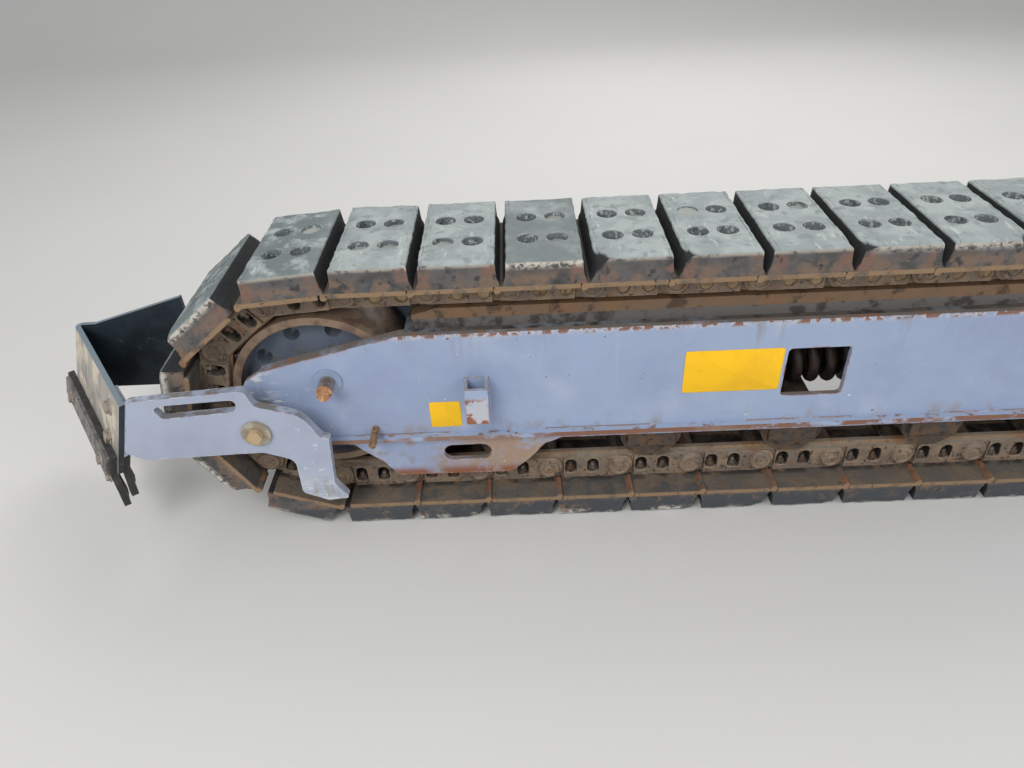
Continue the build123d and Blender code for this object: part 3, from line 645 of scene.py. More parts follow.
def dusty_pad_rubber_and_painted_shade(colours):
    """Hard moulded rubber: tread grey-green with road dust and crumbled pale along its edges, flanks
    brown with dirt. Painted shade makes the faces between pads near black, the flanks darker low on the
    bottom run, the tread darker by the idler and the holes darker inside."""
    tread = in_link(Z, 89, 93.5)
    flank = in_link(Y, 146, 149, 0)
    between = in_link(Y, 149, 146, 0)
    line = both(tread, in_link(X, 65.5, 66.5, PAD_ALONG), in_link(X, 69, 68, PAD_ALONG),
                patches(50, 0.45, 0.65, 49.0))
    hole = both(in_link(X, 66, 62, PAD_ALONG), in_link(Y, 118, 112, 0), in_link(Z, 95.5, 93.5))
    floor = both(hole, facing(UP, 0.7, 0.9))
    return dict(base="#454544", roughness=0.9, layers=[
        # Painted shade: the faces between the pads near black.
        ("#222324", 0.9, between),
        ("#3a322b", 0.95, between, in_link(Z, 56, 46), patches(40, 0.45, 0.65, 50.0)),
        ("#595756", 0.9, flank, patches(60, 0.4, 0.6, 51.0)),
        ("#715f52", 0.95, flank, in_link(Z, 84, 56), patches(36, 0.42, 0.58, 52.0)),
        ("#73594d", 0.92, flank, in_link(X, 40, 60, PAD_ALONG), patches(34, 0.46, 0.6, 56.0)),
        ("#3b3a3a", 0.92, flank, patches(26, 0.56, 0.66, 61.0)),
        ("#9c958a", 0.95, flank, in_link(Z, 82, 90), patches(26, 0.36, 0.5, 59.0)),
        ("#bdb7ac", 0.95, flank, in_link(Z, 72, 88), by_link(0.45, 0.55), patches(12, 0.42, 0.52, 64.0)),
        # Painted shade: the flanks darker low down, on the bottom run.
        ("#424548", 0.9, flank, along_axis(Z, 60, 45), patches(40, 0.36, 0.5, 62.0)),
        ("#8f9795", 0.93, tread),
        ("#a1a8a5", 0.95, tread, patches(80, 0.42, 0.6, 53.0)),
        ("#818a88", 0.9, tread, patches(32, 0.52, 0.66, 54.0)),
        ("#b2b7b3", 0.95, tread, patches(16, 0.58, 0.7, 65.0, stretched=(1.0, 0.3, 1.0))),
        ("#6f7776", 0.85, tread, by_link(0.62, 0.7), patches(120, 0.3, 0.6, 60.0)),
        # Painted shade: the tread darker towards the idler.
        ("#66706f", 0.85, tread, along_axis(X, -1080, -1240), patches(50, 0.36, 0.52, 66.0)),
        ("#757d7b", 0.9, line),
        # Painted shade: the holes darker inside, mottled with pale and dark flecks.
        ("#636a6b", 0.95, hole),
        ("#a3a7a2", 0.95, hole, patches(9, 0.52, 0.62, 68.0)),
        ("#43484a", 0.95, hole, patches(14, 0.54, 0.66, 69.0)),
        # Painted shade: the floors of deep holes darker; filled holes get a pale dust floor.
        ("#565c5e", 0.95, floor),
        ("#7d8382", 0.95, floor, patches(18, 0.4, 0.6, 67.0)),
        ("#9b9e98", 0.95, floor, in_link(Z, 70, 84)),
        ("#bdbab3", 0.95, edges(4), patches(20, 0.48, 0.6, 55.0), in_link(Z, 80, 88)),
    ], bumps=[(0.9, patches(7, 0.3, 0.7, 57.0)), (1.5, patches(40, 0.3, 0.7, 58.0)), (-0.8, line)])


def enamelled_idler_casting(colours):
    """Idler: enamel on the dished web, the rim rubbed bare and brown with fine rust."""
    rim = from_axle(176, 182)
    return dict(base="#6b7482", roughness=0.5, layers=[
        ("#596270", 0.6, patches(90, 0.4, 0.65, 61.0)),
        ("#6a6259", 0.85, patches(25, 0.55, 0.7, 62.0)),
        ("#86705c", 0.5, rim),
        ("#6a5446", 0.6, rim, patches(40, 0.45, 0.6, 63.0)),
    ])


def worn_bare_steel(colours):
    """Bare machined steel, brown with rust and grease in places."""
    return dict(base="#6f655b", roughness=0.5, metallic=0.6, layers=[
        ("#6a4b37", 0.8, patches(50, 0.5, 0.66, 71.0)),
        ("#463a31", 0.85, patches(16, 0.5, 0.65, 72.0)),
    ])


def enamel_on_casting(colours):
    """Enamel on the travel drive's castings, slightly pebbled, dusty on top, grimy, with chipped rims."""
    return dict(base=colours.frame, roughness=0.45, layers=[
        ("#7b87a0", 0.5, patches(120, 0.4, 0.7, 81.0)),
        ("#7e7a78", 0.8, patches(70, 0.54, 0.7, 85.0)),
        (colours.dust, 0.9, facing(UP), patches(60, 0.35, 0.6, 82.0)),
        (colours.rust, 0.85, edges(4), patches(24, 0.44, 0.56, 83.0)),
        ("#6d4a38", 0.85, patches(14, 0.68, 0.72, 86.0, detail=3.0)),
    ], bumps=[(0.25, patches(5, 0.3, 0.7, 84.0))])


def reinforced_rubber_sheet(colours):
    """Fabric-reinforced rubber sheet, black and dull, whitened by road dust where it drags."""
    return dict(base="#2b2a29", roughness=0.7, layers=[
        ("#3a3735", 0.8, patches(50, 0.45, 0.65, 91.0)),
        ("#504b46", 0.9, patches(14, 0.58, 0.72, 92.0, stretched=(1.0, 1.0, 0.2))),
        ("#696560", 0.9, edges(3), patches(14, 0.45, 0.6, 93.0)),
    ], bumps=[(0.5, patches(10, 0.3, 0.7, 94.0)), (1.5, patches(30, 0.3, 0.7, 95.0))])


def weathered_galvanised_bar(colours):
    """Galvanised flat bar, gone matt, with dirt and rust where it is rubbed."""
    return dict(base="#7b7873", roughness=0.5, metallic=0.3, layers=[
        ("#605e5c", 0.6, patches(40, 0.42, 0.6, 101.0)),
        ("#5e4d42", 0.8, patches(18, 0.58, 0.66, 102.0)),
        ("#b3ada2", 0.45, edges(3), patches(20, 0.45, 0.6, 103.0)),
    ])


def weathered_zinc(colours):
    """Zinc-plated bolts and washers, gone grey-brown, rusty on the hexagons."""
    return dict(base="#a29c90", roughness=0.45, metallic=0.4, layers=[
        ("#8d857a", 0.6, patches(24, 0.42, 0.6, 111.0)),
        ("#8c5f40", 0.8, patches(10, 0.54, 0.64, 112.0)),
        ("#c3beb3", 0.45, edges(2), patches(10, 0.45, 0.6, 113.0)),
    ])


def pivot_and_stop_finish(colours):
    """Pivot washers of dulled zinc with brassy heads, and the stop bolt: a painted pad, a grey sleeve and
    a rusty head."""
    stop = along_axis(X, -1300, -1290)
    head = both(stop, along_axis(Y, -160, -164))
    return dict(base="#aaa598", roughness=0.45, metallic=0.3, layers=[
        ("#968b7c", 0.6, patches(24, 0.45, 0.6, 211.0)),
        ("#b8a07c", 0.5, along_axis(Y, -197.5, -198.5)),
        ("#8d6a4a", 0.8, edges(3), patches(16, 0.4, 0.55, 212.0)),
        ("#87837f", 0.5, stop),
        ("#6d5d52", 0.7, stop, patches(20, 0.45, 0.6, 213.0)),
        (colours.frame, 0.45, stop, along_axis(Y, -125.5, -124)),
        ("#a37552", 0.8, head),
        ("#cda078", 0.7, head, patches(12, 0.45, 0.6, 214.0)),
    ])


def dulled_brass(colours):
    """Turned brass, dulled, with grease on it."""
    return dict(base="#9a7758", roughness=0.45, metallic=0.4, layers=[
        ("#6f5a38", 0.6, patches(8, 0.45, 0.6, 121.0)),
        ("#9a6a48", 0.7, along_axis(Z, 264, 260)),
    ])


def yellow_enamelled_sheet(colours):
    """Enamelled sheet plate, bright and even, with a few small rust marks."""
    return dict(base=colours.plates, roughness=0.35, layers=[
        ("#eab303", 0.5, patches(60, 0.4, 0.7, 131.0)),
        ("#9a5a24", 0.8, patches(9, 0.7, 0.74, 132.0, detail=3.0)),
    ])


def matt_studio_floor(colours):
    """Matt pale studio floor with a faint cloudiness."""
    return dict(base=colours.floor, roughness=0.9, layers=[("#cbc9c5", 0.9, patches(900, 0.3, 0.7, 141.0))])


FINISHES = {
    "frame_paint": satin_enamel_on_plate, "deflector_paint": scratched_enamel_on_plate,
    "chain_steel": grimed_steel, "track_pads": dusty_pad_rubber_and_painted_shade, "idler_paint": enamelled_idler_casting,
    "worn_steel": grimed_steel, "drive_paint": enamel_on_casting, "blade_rubber": reinforced_rubber_sheet,
    "clamp_steel": weathered_galvanised_bar, "zinc_steel": weathered_zinc, "brass_fitting": dulled_brass,
}
NODE_FINISHES = {
    "mouldboard": board_enamel_and_painted_light, "roller_saddles": grimed_steel, "slide_rails": rubbed_wear_rail,
    "frame_top_plate": greasy_enamel, "cross_plates": greasy_enamel, "ledge_strips": enamelled_ledge,
    "square_socket": chipped_socket_enamel, "pivot_and_stop_bolts": pivot_and_stop_finish,
}


class CRAWLER_OT_finishes(bpy.types.Operator):
    """Give each carried-over solid the finish of its node, or of its material slot"""
    bl_idname = "crawler.finishes"
    bl_label = "Finishes of the solids"

    def execute(self, context):
        for part in frame["record"]["subparts"]:
            piece = frame["nodes"][part["node"]]
            if not piece.material_slots:
                raise RuntimeError(f"solid {part['node']} has no material slot")
            for slot in piece.material_slots:
                slot.link = "OBJECT"
                slot.material = finish(NODE_FINISHES.get(part["node"], FINISHES[part["material_slot"]]))
        return {"FINISHED"}


PAD_HALF = np.array([76, 151]) * MM
PAD_BASE, PAD_TOP = 42 * MM, 96.7 * MM
PAD_STEPS = (6, 12)


def pad_quarter(reach):
    """Closed outline (u, y) of a quarter of a tread: a rectangle from (0, 0) to reach, in even steps."""
    corners = np.array([(0, 0), (reach[0], 0), reach, (0, reach[1])])
    sides = zip(corners, np.roll(corners, -1, axis=0), PAD_STEPS * 2)
    return np.concatenate([np.linspace(start, end, steps, endpoint=False) for start, end, steps in sides])


def pad_treads(reach, hole, rng):
    """Treads with their holes, by quarters: rings from a hole's floor up its wall, then out to the
    quarter's outline. Three holes in ten are nearly filled with dust."""
    edge, centre = pad_quarter(reach), np.array([30, 52.5]) * MM
    out = edge - centre
    far = np.linalg.norm(out, axis=1, keepdims=True)
    lip = hole + 1.5 * MM
    rings = [(centre + out / far * s, z) for s, z in (
        (0.25 * hole, 0.0), (0.96 * hole, 3 * MM), (hole, PAD_TOP - 2 * MM), (lip, PAD_TOP))]
    rings += [(centre + out * (w + (1 - w) * lip / far), PAD_TOP) for w in (0.3, 0.65, 1.0)]
    quarter = np.stack([raised(ring, z) for ring, z in rings])
    faces = grid_faces(len(rings), len(edge), close_columns=True) + [list(range(len(edge)))]
    filled = rng.random((SHOES, 4)) < 0.3
    depth = np.where(filled, rng.uniform(7, 20, (SHOES, 4)), rng.uniform(38, 48, (SHOES, 4))) * MM
    parts = []
    for k, signs in enumerate(((1, 1, 1), (-1, 1, 1), (-1, -1, 1), (1, -1, 1))):
        here = np.broadcast_to(quarter, (SHOES, *quarter.shape)).copy()
        here[:, :2, :, 2] += PAD_TOP - depth[:, k, None, None]
        parts.append((here.reshape(SHOES, -1, 3) * signs, faces))
    return parts


def pad_flanks(reach, r):
    """Flanks and underside of a pad: the tread's outline taken round its edge in a quarter circle of
    radius r, straight down, and flared along the track at the foot."""
    corner = pad_quarter(reach)[PAD_STEPS[0]:2 * PAD_STEPS[0] + PAD_STEPS[1] + 1]
    loop = np.concatenate([corner[:-1], (corner * (-1, 1))[::-1][:-1], -corner[:-1],
                           (corner * (1, -1))[::-1][:-1]])
    away = np.sign(loop) * (np.abs(loop) > reach - 1e-6)
    # Rows (outwards, flare, height).
    rows = [(r * sin(t), 0.0, PAD_TOP - r * (1 - cos(t))) for t in np.linspace(0, pi / 2, 4)]
    rows += [(r + 0.5 * MM, 0.0, 76 * MM), (r + MM, 0.5 * MM, 60 * MM), (r + 1.5 * MM, 4 * MM, 50 * MM),
             (r + 1.5 * MM, 5 * MM, PAD_BASE)]
    points = np.concatenate([raised(loop + away * (s + flare, s), z) for s, flare, z in rows])
    last = len(points) - len(loop)
    faces = grid_faces(len(rows), len(loop), close_columns=True) + [list(range(last, len(points)))]
    return np.broadcast_to(points, (SHOES, *points.shape)), faces


def wear(q, k, wear_depth, torn, torn_side):
    """Wear the points q of pad k in place: noise crumbles the outline and rubs the ends down, a bell
    curve of the distance tears one near corner off, and slow noise sinks the tread."""
    tear_size, tear_depth = 24 * MM, 16 * MM
    up = np.clip((q[:, 2] - PAD_BASE) / (PAD_TOP - PAD_BASE), 0, 1)
    outer = np.clip(np.abs(q[:, :2]) / PAD_HALF, 0, 1) ** (12, 20)
    crumb = 1 + 0.9 * ripple(q[:, :2], 24 * MM, 2 * k) + 0.5 * ripple(q[:, :2], 70 * MM, 2 * k + 1)
    rub = wear_depth * np.maximum(crumb, 0) * up
    off = np.hypot(q[:, 0] - torn_side * PAD_HALF[0], q[:, 1] + PAD_HALF[1]) / tear_size
    chip = tear_depth * torn * np.exp(-off ** 2) * up
    q[:, :2] -= np.sign(q[:, :2]) * (outer * rub[:, None] * 0.5 + 0.5 * chip[:, None] * (outer > 0.3))
    q[:, 2] -= outer.max(1) * rub + chip + 0.5 * MM * up * (1 + ripple(q[:, :2], 90 * MM, 90 + k))


class CRAWLER_OT_pads(bpy.types.Operator):
    """Rubber pads with four holes each, crumbled along their edges, some holes filled with dust"""
    bl_idname = "crawler.pads"
    bl_label = "Track pads"

    def execute(self, context):
        sizes = context.scene.track_sizes
        reach = PAD_HALF - sizes.pad_edge
        rng = np.random.default_rng(3)
        parts = [*pad_treads(reach, sizes.pad_hole / 2, rng), pad_flanks(reach, sizes.pad_edge)]
        torn = rng.random(SHOES) ** 2
        torn_side = np.where(rng.random(SHOES) < 0.3, -1, 1)
        worn = []
        for points, faces in parts:
            points = np.array(points)
            for k in range(SHOES):
                wear(points[k], k, sizes.pad_wear, torn[k], torn_side[k])
            worn.append((points + (PAD_ALONG * MM, 0, 0), faces))
        add_link_piece("shoe_pads", worn, "track_pads", dusty_pad_rubber_and_painted_shade, ("track_shoes",), 45)
        return {"FINISHED"}


class CRAWLER_OT_shoes(bpy.types.Operator):
    """Steel shoe plates, each with a lip along its seam with the next one"""
    bl_idname = "crawler.shoes"
    bl_label = "Shoe plates"

    def execute(self, context):
        # The plate's section (u, v) swept across the track. Beside the links its end turns in to a lip.
        middle, half, inner, outer = 28, 83.5, LINK_FOOT, 42.0
        start, end = middle - half, middle + half
        flat = np.array([
            (start, inner + 1), (start + 4, inner), (end - 12, inner), (end - 9, inner), (end - 4, inner),
            (end, inner), (end + 2, inner + 2), (end + 2, outer - 3), (end, outer), (start + 3, outer),
            (start, outer - 1)])
        lip = np.zeros_like(flat)
        lip[3:8] = [(0, -3), (0, -7), (2, -6), (2, -2), (0, 0)]
        rows = []
        for y, share in ((-152.5, 0.8), (-150.5, 1.0), (-120.0, 1.0), (-92.0, 1.0), (-86.0, 0.0),
                         (86.0, 0.0), (92.0, 1.0), (120.0, 1.0), (150.5, 1.0), (152.5, 0.8)):
            rows.append(across_at(flat + share * lip, y))
        shape = np.concatenate(rows) * MM, capped(len(rows), len(flat))
        add_link_piece("shoe_plates", [shape], "chain_steel", rusted_shoe_plate, ("track_shoes",))
        return {"FINISHED"}


def link_windows(levels):
    """Parts of a link round its two windows, and the dirt that fills them, in millimetres (u, y, v).

    Each window is an arch with a rounded foot. Rings lead from the link's back into the window, through
    it, and over its chamfered lip to the link's face."""
    arch = np.radians([160, 125, 90, 55, 20])
    window = np.concatenate([
        np.column_stack([14 * np.cos(arch), -9 - 14 * np.sin(arch)]),
        [(14, 1), (14, 10), (12.5, 17), (7, 19), (0, 19), (-7, 19), (-12.5, 17), (-14, 10), (-14, 1)]])
    lip = window * (1.13, 1.1)
    heap = [(LINK_FACE - 9, 0), (LINK_FACE - 3.4, 0), (LINK_FACE - 1.8, 2.5), (LINK_FACE - 1, 7)]
    walls, dirt = [], []
    for centre, low, high in zip(NUTS_ALONG, (-49.0, -5.0), (-5.0, 49.0)):
        steps = np.array([low, (low + centre) / 2, centre, (high + centre) / 2, high])
        cell = np.concatenate([
            np.column_stack([steps, np.full(5, LINK_INSIDE)]),
            np.column_stack([np.full(2, high), levels[1:3]]),
            np.column_stack([steps[::-1], np.full(5, LINK_FOOT)]),
            np.column_stack([np.full(2, low), levels[2:0:-1]])])
        here = (centre, 0)
        rings = [(cell, LINK_BACK), (window + here, LINK_BACK), (window + here, LINK_FACE - 2),
                 (lip + here, LINK_FACE), (cell, LINK_FACE)]
        around = np.concatenate([across_at(ring, w) for ring, w in rings])
        walls.append((around, grid_faces(len(rings), len(cell), close_columns=True)))
        dirt.append(carried(window + here, heap))
    return walls, dirt


def link_body(levels):
    """Parts of a link beside its windows, in millimetres (u, y, v): grids over its stations along the
    track, the rail head, the foot and the two ends. Its face is set back at one end."""
    end = PITCH / 2 / MM - LINK_GAP
    stations = np.array([-end, -70, -51, -49, -40.5, -32, -18.5, -5, 8.5, 22, 35.5, 49, 60, 72, end])
    front = np.interp(stations, [-51, -49], [LINK_SET_BACK, LINK_FACE])
    parts = []
    for part in (slice(0, 4), slice(11, 15)):
        for w in (np.full_like(front, LINK_BACK), front):
            grid = np.stack(np.broadcast_arrays(stations[part, None], w[part, None], levels[None, :]),
                            axis=-1)
            parts.append((grid.reshape(-1, 3), grid_faces(grid.shape[0], len(levels))))
    rail = [(front, LINK_INSIDE), (70, -31), (69, -32), (69, -35), (68, -36), (56, -36),
            (LINK_BACK, -34.5), (LINK_BACK, LINK_INSIDE)]
    for line in (rail, [(LINK_BACK, LINK_FOOT), (front, LINK_FOOT)]):
        rows = [np.stack(np.broadcast_arrays(stations, w, v), axis=-1) for w, v in line]
        parts.append((np.concatenate(rows), grid_faces(len(line), len(stations))))
    for k in (0, -1):
        section = [(front[k], v) for v in levels[::-1]] + rail[1:-1] + [(LINK_BACK, v) for v in levels]
        cap = np.array([(stations[k], w, v) for w, v in section])
        parts.append((cap, [list(range(len(cap)))]))
    return parts


class CRAWLER_OT_links(bpy.types.Operator):
    """Forged links of both strands: rail head, body with two arched windows, foot, one end set back"""
    bl_idname = "crawler.links"
    bl_label = "Links"

    def execute(self, context):
        levels = np.linspace(LINK_INSIDE, LINK_FOOT, 4)
        walls, dirt = link_windows(levels)
        points, faces = joined(walls + link_body(levels))
        shapes = [(mitred(points * (1, side, 1) * MM, MITRE_START * MM), faces) for side in (-1, 1)]
        add_link_piece("links", shapes, "chain_steel", rusted_forged_steel_and_painted_light,
                       ("track_links_outer", "track_links_inner"), 40)
        # Dirt fills the windows of the returning run, a little deeper on one link than on the next.
        top_run = (PINS + NEXT_PINS)[:, 1] / 2 > AXLE_Z + PIN_RADIUS - MM
        points, faces = joined(dirt)
        depth = np.random.default_rng(11).uniform(0, 1.4, (SHOES, 1))
        heaps = []
        for side in (-1, 1):
            filled = np.broadcast_to(points, (SHOES, *points.shape)).copy()
            filled[..., 1] = side * (filled[..., 1] - depth)
            heaps.append((filled * MM, faces))
        add_link_piece("window_dirt", heaps, "chain_steel", caked_road_dirt, crease=60, chosen=top_run)
        return {"FINISHED"}


class CRAWLER_OT_chain(bpy.types.Operator):
    """Rounded link ends that lap over the next link, with their pin ends, and the nuts of the shoe bolts"""
    bl_idname = "crawler.chain"
    bl_label = "Chain fittings"

    def execute(self, context):
        # A link's end is a half circle about its pin, cut off at the rail. The pin's end is turned.
        face, half, reach, rail = LINK_FACE * MM, PITCH / 2, 33 * MM, LINK_INSIDE * MM
        angle = np.linspace(-pi / 2, pi / 2, 13)
        end = np.column_stack([half + reach * np.cos(angle), np.maximum(reach * np.sin(angle), rail)])
        tongue = np.concatenate([end, [(half - 6 * MM, reach), (half - 6 * MM, rail)]])
        r = context.scene.track_sizes.pin_end / 2
        pin = [(0, 7.5 * MM), (r * 0.34, 8 * MM), (r * 0.42, 6 * MM), (r * 0.66, 6 * MM),
               (r * 0.72, 9 * MM), (r * 0.9, 9 * MM), (r, 7 * MM), (r * 1.06, 0)]
        stem = [(6.5 * MM, 10 * MM), (6.5 * MM, 19 * MM), (5 * MM, 21 * MM), (0, 21 * MM)]
        parts = [(carried(tongue, [(-7.2 * MM, 0), (-1.5 * MM, 0), (0.6 * MM, 2 * MM)]), 0),
                 (turned(pin, 16), half)]
        ends, nuts = [], []
        for side in (-1, 1):
            ends += [(points * (1, side, 1) + (along, side * face, 0), faces)
                     for (points, faces), along in parts]
            for u in NUTS_ALONG:
                place = (u * MM, side * NUTS_ACROSS * MM, NUTS_OUT * MM)
                nuts.append(set_on(screw(11 * MM, 12 * MM), place, (0, 0, -1)))
                nuts.append(set_on(turned(stem, 8), place, (0, 0, -1)))
        add_link_piece("link_ends", ends, "chain_steel", rusted_forged_steel_and_painted_light, crease=40)
        add_link_piece("shoe_nuts", nuts, "worn_steel", worn_bare_steel, crease=40)
        return {"FINISHED"}


class CRAWLER_OT_spring(bpy.types.Operator):
    """Recoil spring, as a coil between its two cross plates"""
    bl_idname = "crawler.spring"
    bl_label = "Recoil spring"

    def execute(self, context):
        # A helix whose pitch is even but for a flat turn at each end.
        low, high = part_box("recoil_spring")
        wire = context.scene.track_sizes.wire
        radius = (high.z - low.z) / 2 - wire / 2
        turns, steps, flat = 17, 20, 0.8
        t = np.linspace(0, 1, turns * steps + 1)
        angle = 2 * pi * turns * t
        ease = np.clip((t * turns - flat) / (turns - 2 * flat), 0, 1)
        x = low.x + wire / 2 + (high.x - low.x - wire) * ease
        path = np.column_stack([x, radius * np.cos(angle), AXLE_Z + radius * np.sin(angle)])
        add_piece("recoil_coil", [tube(path, wire / 2, 10)], "track_unit", spring_steel_in_painted_shade,
                  ("recoil_spring",), 60)
        return {"FINISHED"}


def board_places(run, depth, drop):
    """Points on the deflector's board: run along it from its outer end, depth behind its front and drop
    below its top."""
    x = BOARD_FRONT - run * sin(BOARD_ANGLE) + depth * cos(BOARD_ANGLE) - BOARD_LEAN * drop
    y = -ARM_OUTSIDE + run * cos(BOARD_ANGLE) + depth * sin(BOARD_ANGLE)
    return np.stack([x, y, BOARD_TOP - drop], axis=-1)


def blade(runs, depth, drop, foot, seed):
    """Rubber blade as a grid over run and drop: flat down to the board's foot, then straight down with a
    wave that grows, to a ragged foot. A second layer lies one thickness behind the first."""
    run, down = np.meshgrid(np.linspace(*runs, 56), np.linspace(0, 1, 12), indexing="ij")
    at = run[..., None]
    torn = 9 * MM * (ripple(at, 70 * MM, seed) + 0.6 * ripple(at, 16 * MM, seed + 1))
    reach = drop + (BOARD_TOP - foot - drop - np.abs(torn)) * down
    free = np.clip(reach - BOARD_HEIGHT, 0, None)
    layers = []
    for back in (0, BLADE_THICKNESS):
        points = board_places(run, depth + back, reach)
        points[..., 0] += BOARD_LEAN * free + 0.16 * free * ripple(at, 150 * MM, seed + 2)
        layers.append(points.reshape(-1, 3))
    index = np.arange(run.size).reshape(run.shape)
    rim = np.concatenate([index[:-1, 0], index[-1, :-1], index[:0:-1, -1], index[0, :0:-1]])
    after = np.roll(rim, -1)
    near = grid_faces(*run.shape)
    far = [[i + run.size for i in face] for face in near]
    sides = np.column_stack([rim, after, after + run.size, rim + run.size]).tolist()
    return np.concatenate(layers), near + far + sides


class CRAWLER_OT_blades(bpy.types.Operator):
    """Rubber blades that hang from the board, waved and torn along their foot"""
    bl_idname = "crawler.blades"
    bl_label = "Rubber blades"

    def execute(self, context):
        for name, node, runs, depth, drop, foot, seed in (
                ("front_blade", "blade_front", (14, 455), -15, 145, 120, 5),
                ("rear_blade", "blade_rear", (5, 405), 12, 150, 145, 9)):
            shape = blade(np.array(runs) * MM, depth * MM, drop * MM, foot * MM, seed)
            add_piece(name, [shape], "deflector", reinforced_rubber_sheet, (node,), 50)
        return {"FINISHED"}


class CRAWLER_OT_fasteners(bpy.types.Operator):
    """Washers and bolts of the deflector's clamp and board, and of the travel drive"""
    bl_idname = "crawler.fasteners"
    bl_label = "Bolts and washers"

    def execute(self, context):
        # Rings turned from their section (radius, s) and set square to the leaning board.
        lean = np.array([-BOARD_LEAN, 0, -1]) / np.hypot(1, BOARD_LEAN)
        ahead = np.cross((-sin(BOARD_ANGLE), cos(BOARD_ANGLE), 0), lean)
        heads = []
        for run, depth, drop, washer in ((62, -23, 172, 17), (364, -23, 172, 17), (78, 0, 45, 20),
                                         (78, 0, 128, 20)):
            ring = turned(np.array([(10, 0), (washer, 0), (washer, 2), (washer - 1, 3), (10, 3)]) * MM, 24)
            heads.append(set_on(ring, board_places(run * MM, depth * MM, drop * MM), ahead))
        loose = board_places(34 * MM, -BLADE_THICKNESS, BOARD_HEIGHT) - (0, 0, 20 * MM)
        heads.append(set_on(screw(10 * MM, 8 * MM, 14 * MM), loose, ahead))
        add_piece("deflector_washers", heads, "deflector", weathered_zinc)
        # Twelve bolts on a circle round the drive's plug.
        bolts, circle = 12, 88 * MM
        cover = []
        for k in range(bolts):
            a = 2 * pi * (k + 0.5) / bolts
            place = (SPROCKET_X + circle * cos(a), DRIVE_COVER_Y, AXLE_Z + circle * sin(a))
            cover.append(set_on(screw(9 * MM, 7 * MM), place, OUT))
        plug = turned(np.array([(22, 0), (22, 6), (19, 8), (9, 8), (8, 5), (0, 5)]) * MM, 24)
        cover.append(set_on(plug, (SPROCKET_X, DRIVE_COVER_Y, AXLE_Z), OUT))
        add_piece("drive_bolts", cover, "track_unit", enamel_on_casting)
        return {"FINISHED"}


class CRAWLER_OT_welds(bpy.types.Operator):
    """Weld beads on the side plate, round the square socket and along the ledge"""
    bl_idname = "crawler.welds"
    bl_label = "Weld beads"

    def execute(self, context):
        # In millimetres behind the idler's axle and above the ground: x, z, end's x, end's z, and radius.
        lines = [(328, 312, 328, 403, 4), (378, 312, 378, 403, 4), (328, 311, 378, 311, 4)]
        lines += [(x, 250, x + 240, 250, 3) for x in (40, 500, 960, 1420, 1880)]
        beads = [bead((IDLER_X + x * MM, SIDE_PLATE_Y, z * MM),
                      (IDLER_X + end_x * MM, SIDE_PLATE_Y, end_z * MM), radius * MM)
                 for x, z, end_x, end_z, radius in lines]
        add_piece("weld_beads", beads, "track_unit", satin_enamel_on_plate, crease=70)
        return {"FINISHED"}


class CRAWLER_OT_plates(bpy.types.Operator):
    """Two blank yellow plates on the outer side plate"""
    bl_idname = "crawler.plates"
    bl_label = "Yellow plates"

    def execute(self, context):
        # A rectangle with a quarter circle at each corner, carried outwards, with its last edge drawn in.
        corner, thickness = 5 * MM, 1.5 * MM
        t = np.linspace(0, pi / 2, 5)
        quarter = corner * np.column_stack([np.cos(t), np.sin(t)])
        outer = SIDE_PLATE_Y - thickness
        parts = []
        for x_low, x_high, z_low, z_high in ((805, 1017, 337, 446), (242, 312, 268, 338)):
            a = np.array([IDLER_X + x_low * MM, z_low * MM]) + corner
            b = np.array([IDLER_X + x_high * MM, z_high * MM]) - corner
            outline = np.concatenate([quarter + b, quarter[::-1] * (-1, 1) + (a[0], b[1]), a - quarter,
                                      quarter[::-1] * (1, -1) + (b[0], a[1])])
            parts.append(carried(outline, [(SIDE_PLATE_Y, 0), (outer + 0.4 * MM, 0), (outer, 0.5 * MM)]))
        add_piece("blank_plates", parts, "track_unit", yellow_enamelled_sheet)
        return {"FINISHED"}


def set_up(name, data, place, turn):
    """Lamp or camera at a place, with its turn."""
    thing = bpy.data.objects.new(name, data)
    bpy.context.scene.collection.objects.link(thing)
    thing.matrix_world = Matrix.Translation(place) @ turn
    return thing


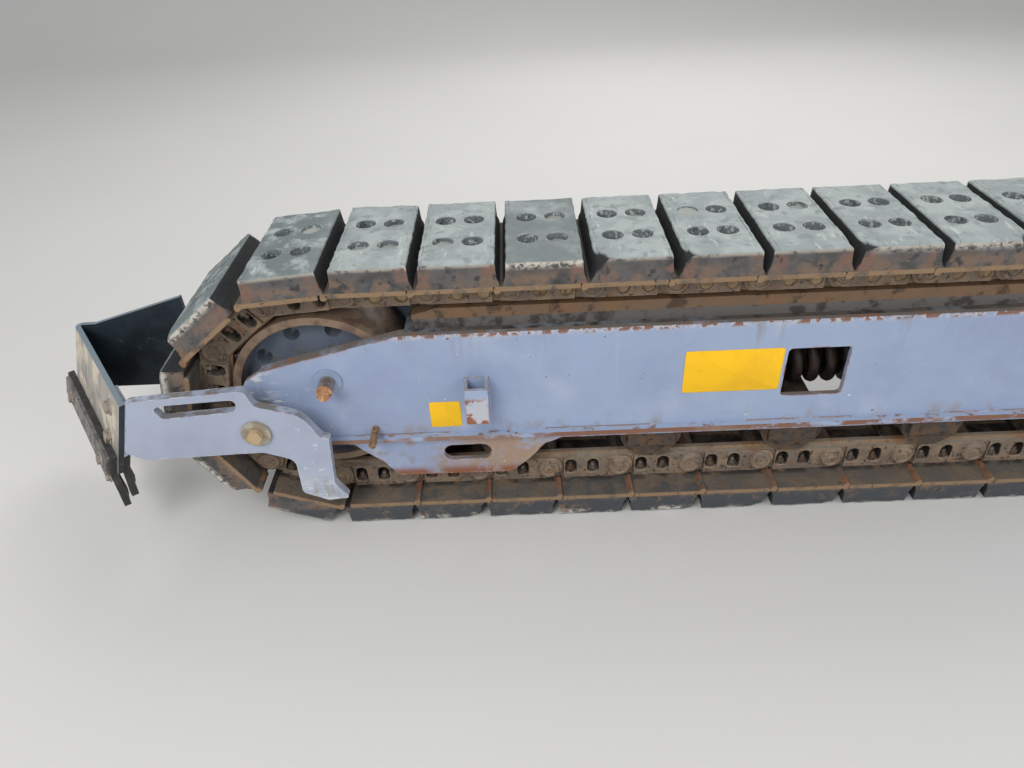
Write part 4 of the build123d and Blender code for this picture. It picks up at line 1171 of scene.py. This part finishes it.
class CRAWLER_OT_stage(bpy.types.Operator):
    """Pale floor and backdrop, soft lamps and the camera at the photograph's angle"""
    bl_idname = "crawler.stage"
    bl_label = "Stage and camera"

    def execute(self, context):
        scene = context.scene
        # The floor is a sheet whose section is flat, then a quarter circle, then upright.
        t = np.linspace(0, pi / 2, 25)
        depth = np.concatenate([[-14.0], 5 + 3 * np.sin(t), [8.0]])
        rise = np.concatenate([[0.0], 3 * (1 - np.cos(t)), [12.0]])
        points = np.stack(np.broadcast_arrays([-16.0, 16.0], depth[:, None], rise[:, None]), axis=-1)
        mesh = bpy.data.meshes.new("studio_floor")
        faces = [f[::-1] for f in grid_faces(len(depth), 2)]
        mesh.from_pydata(points.reshape(-1, 3).tolist(), [], faces)
        mesh.shade_smooth()
        floor = bpy.data.objects.new("studio_floor", mesh)
        scene.collection.objects.link(floor)
        mesh.materials.append(finish(matt_studio_floor))

        target = Vector((-0.4, 0, 0.3))
        for name, place, power, size in (("key", (-2.6, -3.4, 3.8), 150, 2.6),
                                         ("fill", (3.4, -3.2, 2.6), 70, 3.0),
                                         ("back", (0.4, 3.4, 3.6), 120, 4.0)):
            lamp = bpy.data.lights.new(name, "AREA")
            lamp.energy, lamp.size = power, size
            aim = (target - Vector(place)).to_track_quat("-Z", "Y")
            set_up(name, lamp, place, aim.to_matrix().to_4x4())

        world = bpy.data.worlds.new("studio")
        world.use_nodes = True
        background = world.node_tree.nodes["Background"]
        background.inputs[0].default_value = linear("#e4e7ec")
        background.inputs[1].default_value = 0.75
        scene.world = world

        pitch, yaw, roll = 0.629, -0.019, 0.052
        ahead = Vector((sin(yaw) * cos(pitch), cos(yaw) * cos(pitch), -sin(pitch)))
        right = Vector((cos(yaw), -sin(yaw), 0))
        down = ahead.cross(right)
        across = right * cos(roll) + down * sin(roll)
        below = down * cos(roll) - right * sin(roll)
        turn = Matrix((across, -below, -ahead)).transposed().to_4x4()
        camera = bpy.data.cameras.new("camera")
        camera.lens, camera.sensor_width = 26.19, 36
        camera.clip_start, camera.clip_end = 0.02, 60
        scene.camera = set_up("camera", camera, (-0.7880125, -1.439684, 1.34193), turn)
        scene.view_settings.view_transform = "Standard"
        return {"FINISHED"}


OPERATORS = (CRAWLER_OT_finishes, CRAWLER_OT_pads, CRAWLER_OT_shoes, CRAWLER_OT_links, CRAWLER_OT_chain,
             CRAWLER_OT_spring, CRAWLER_OT_blades, CRAWLER_OT_fasteners, CRAWLER_OT_welds,
             CRAWLER_OT_plates, CRAWLER_OT_stage)


class CRAWLER_PT_panel(bpy.types.Panel):
    """Sizes, colours and pieces of the crawler track unit"""
    bl_idname = "CRAWLER_PT_panel"
    bl_label = "Crawler track unit"
    bl_space_type = "VIEW_3D"
    bl_region_type = "UI"
    bl_category = "Crawler"

    def draw(self, context):
        for group in (context.scene.track_sizes, context.scene.track_colours):
            for name in group.__annotations__:
                self.layout.prop(group, name)
        for operator in OPERATORS:
            self.layout.operator(operator.bl_idname)


CLASSES = (TrackSizes, TrackColours, *OPERATORS, CRAWLER_PT_panel)


def register():
    for item in CLASSES:
        bpy.utils.register_class(item)
    bpy.types.Scene.track_sizes = bpy.props.PointerProperty(type=TrackSizes)
    bpy.types.Scene.track_colours = bpy.props.PointerProperty(type=TrackColours)


def unregister():
    del bpy.types.Scene.track_colours
    del bpy.types.Scene.track_sizes
    for item in reversed(CLASSES):
        bpy.utils.unregister_class(item)


def main():
    register()
    for operator in OPERATORS:
        group, name = operator.bl_idname.split(".")
        getattr(getattr(bpy.ops, group), name)()


if __name__ == "__main__":
    main()
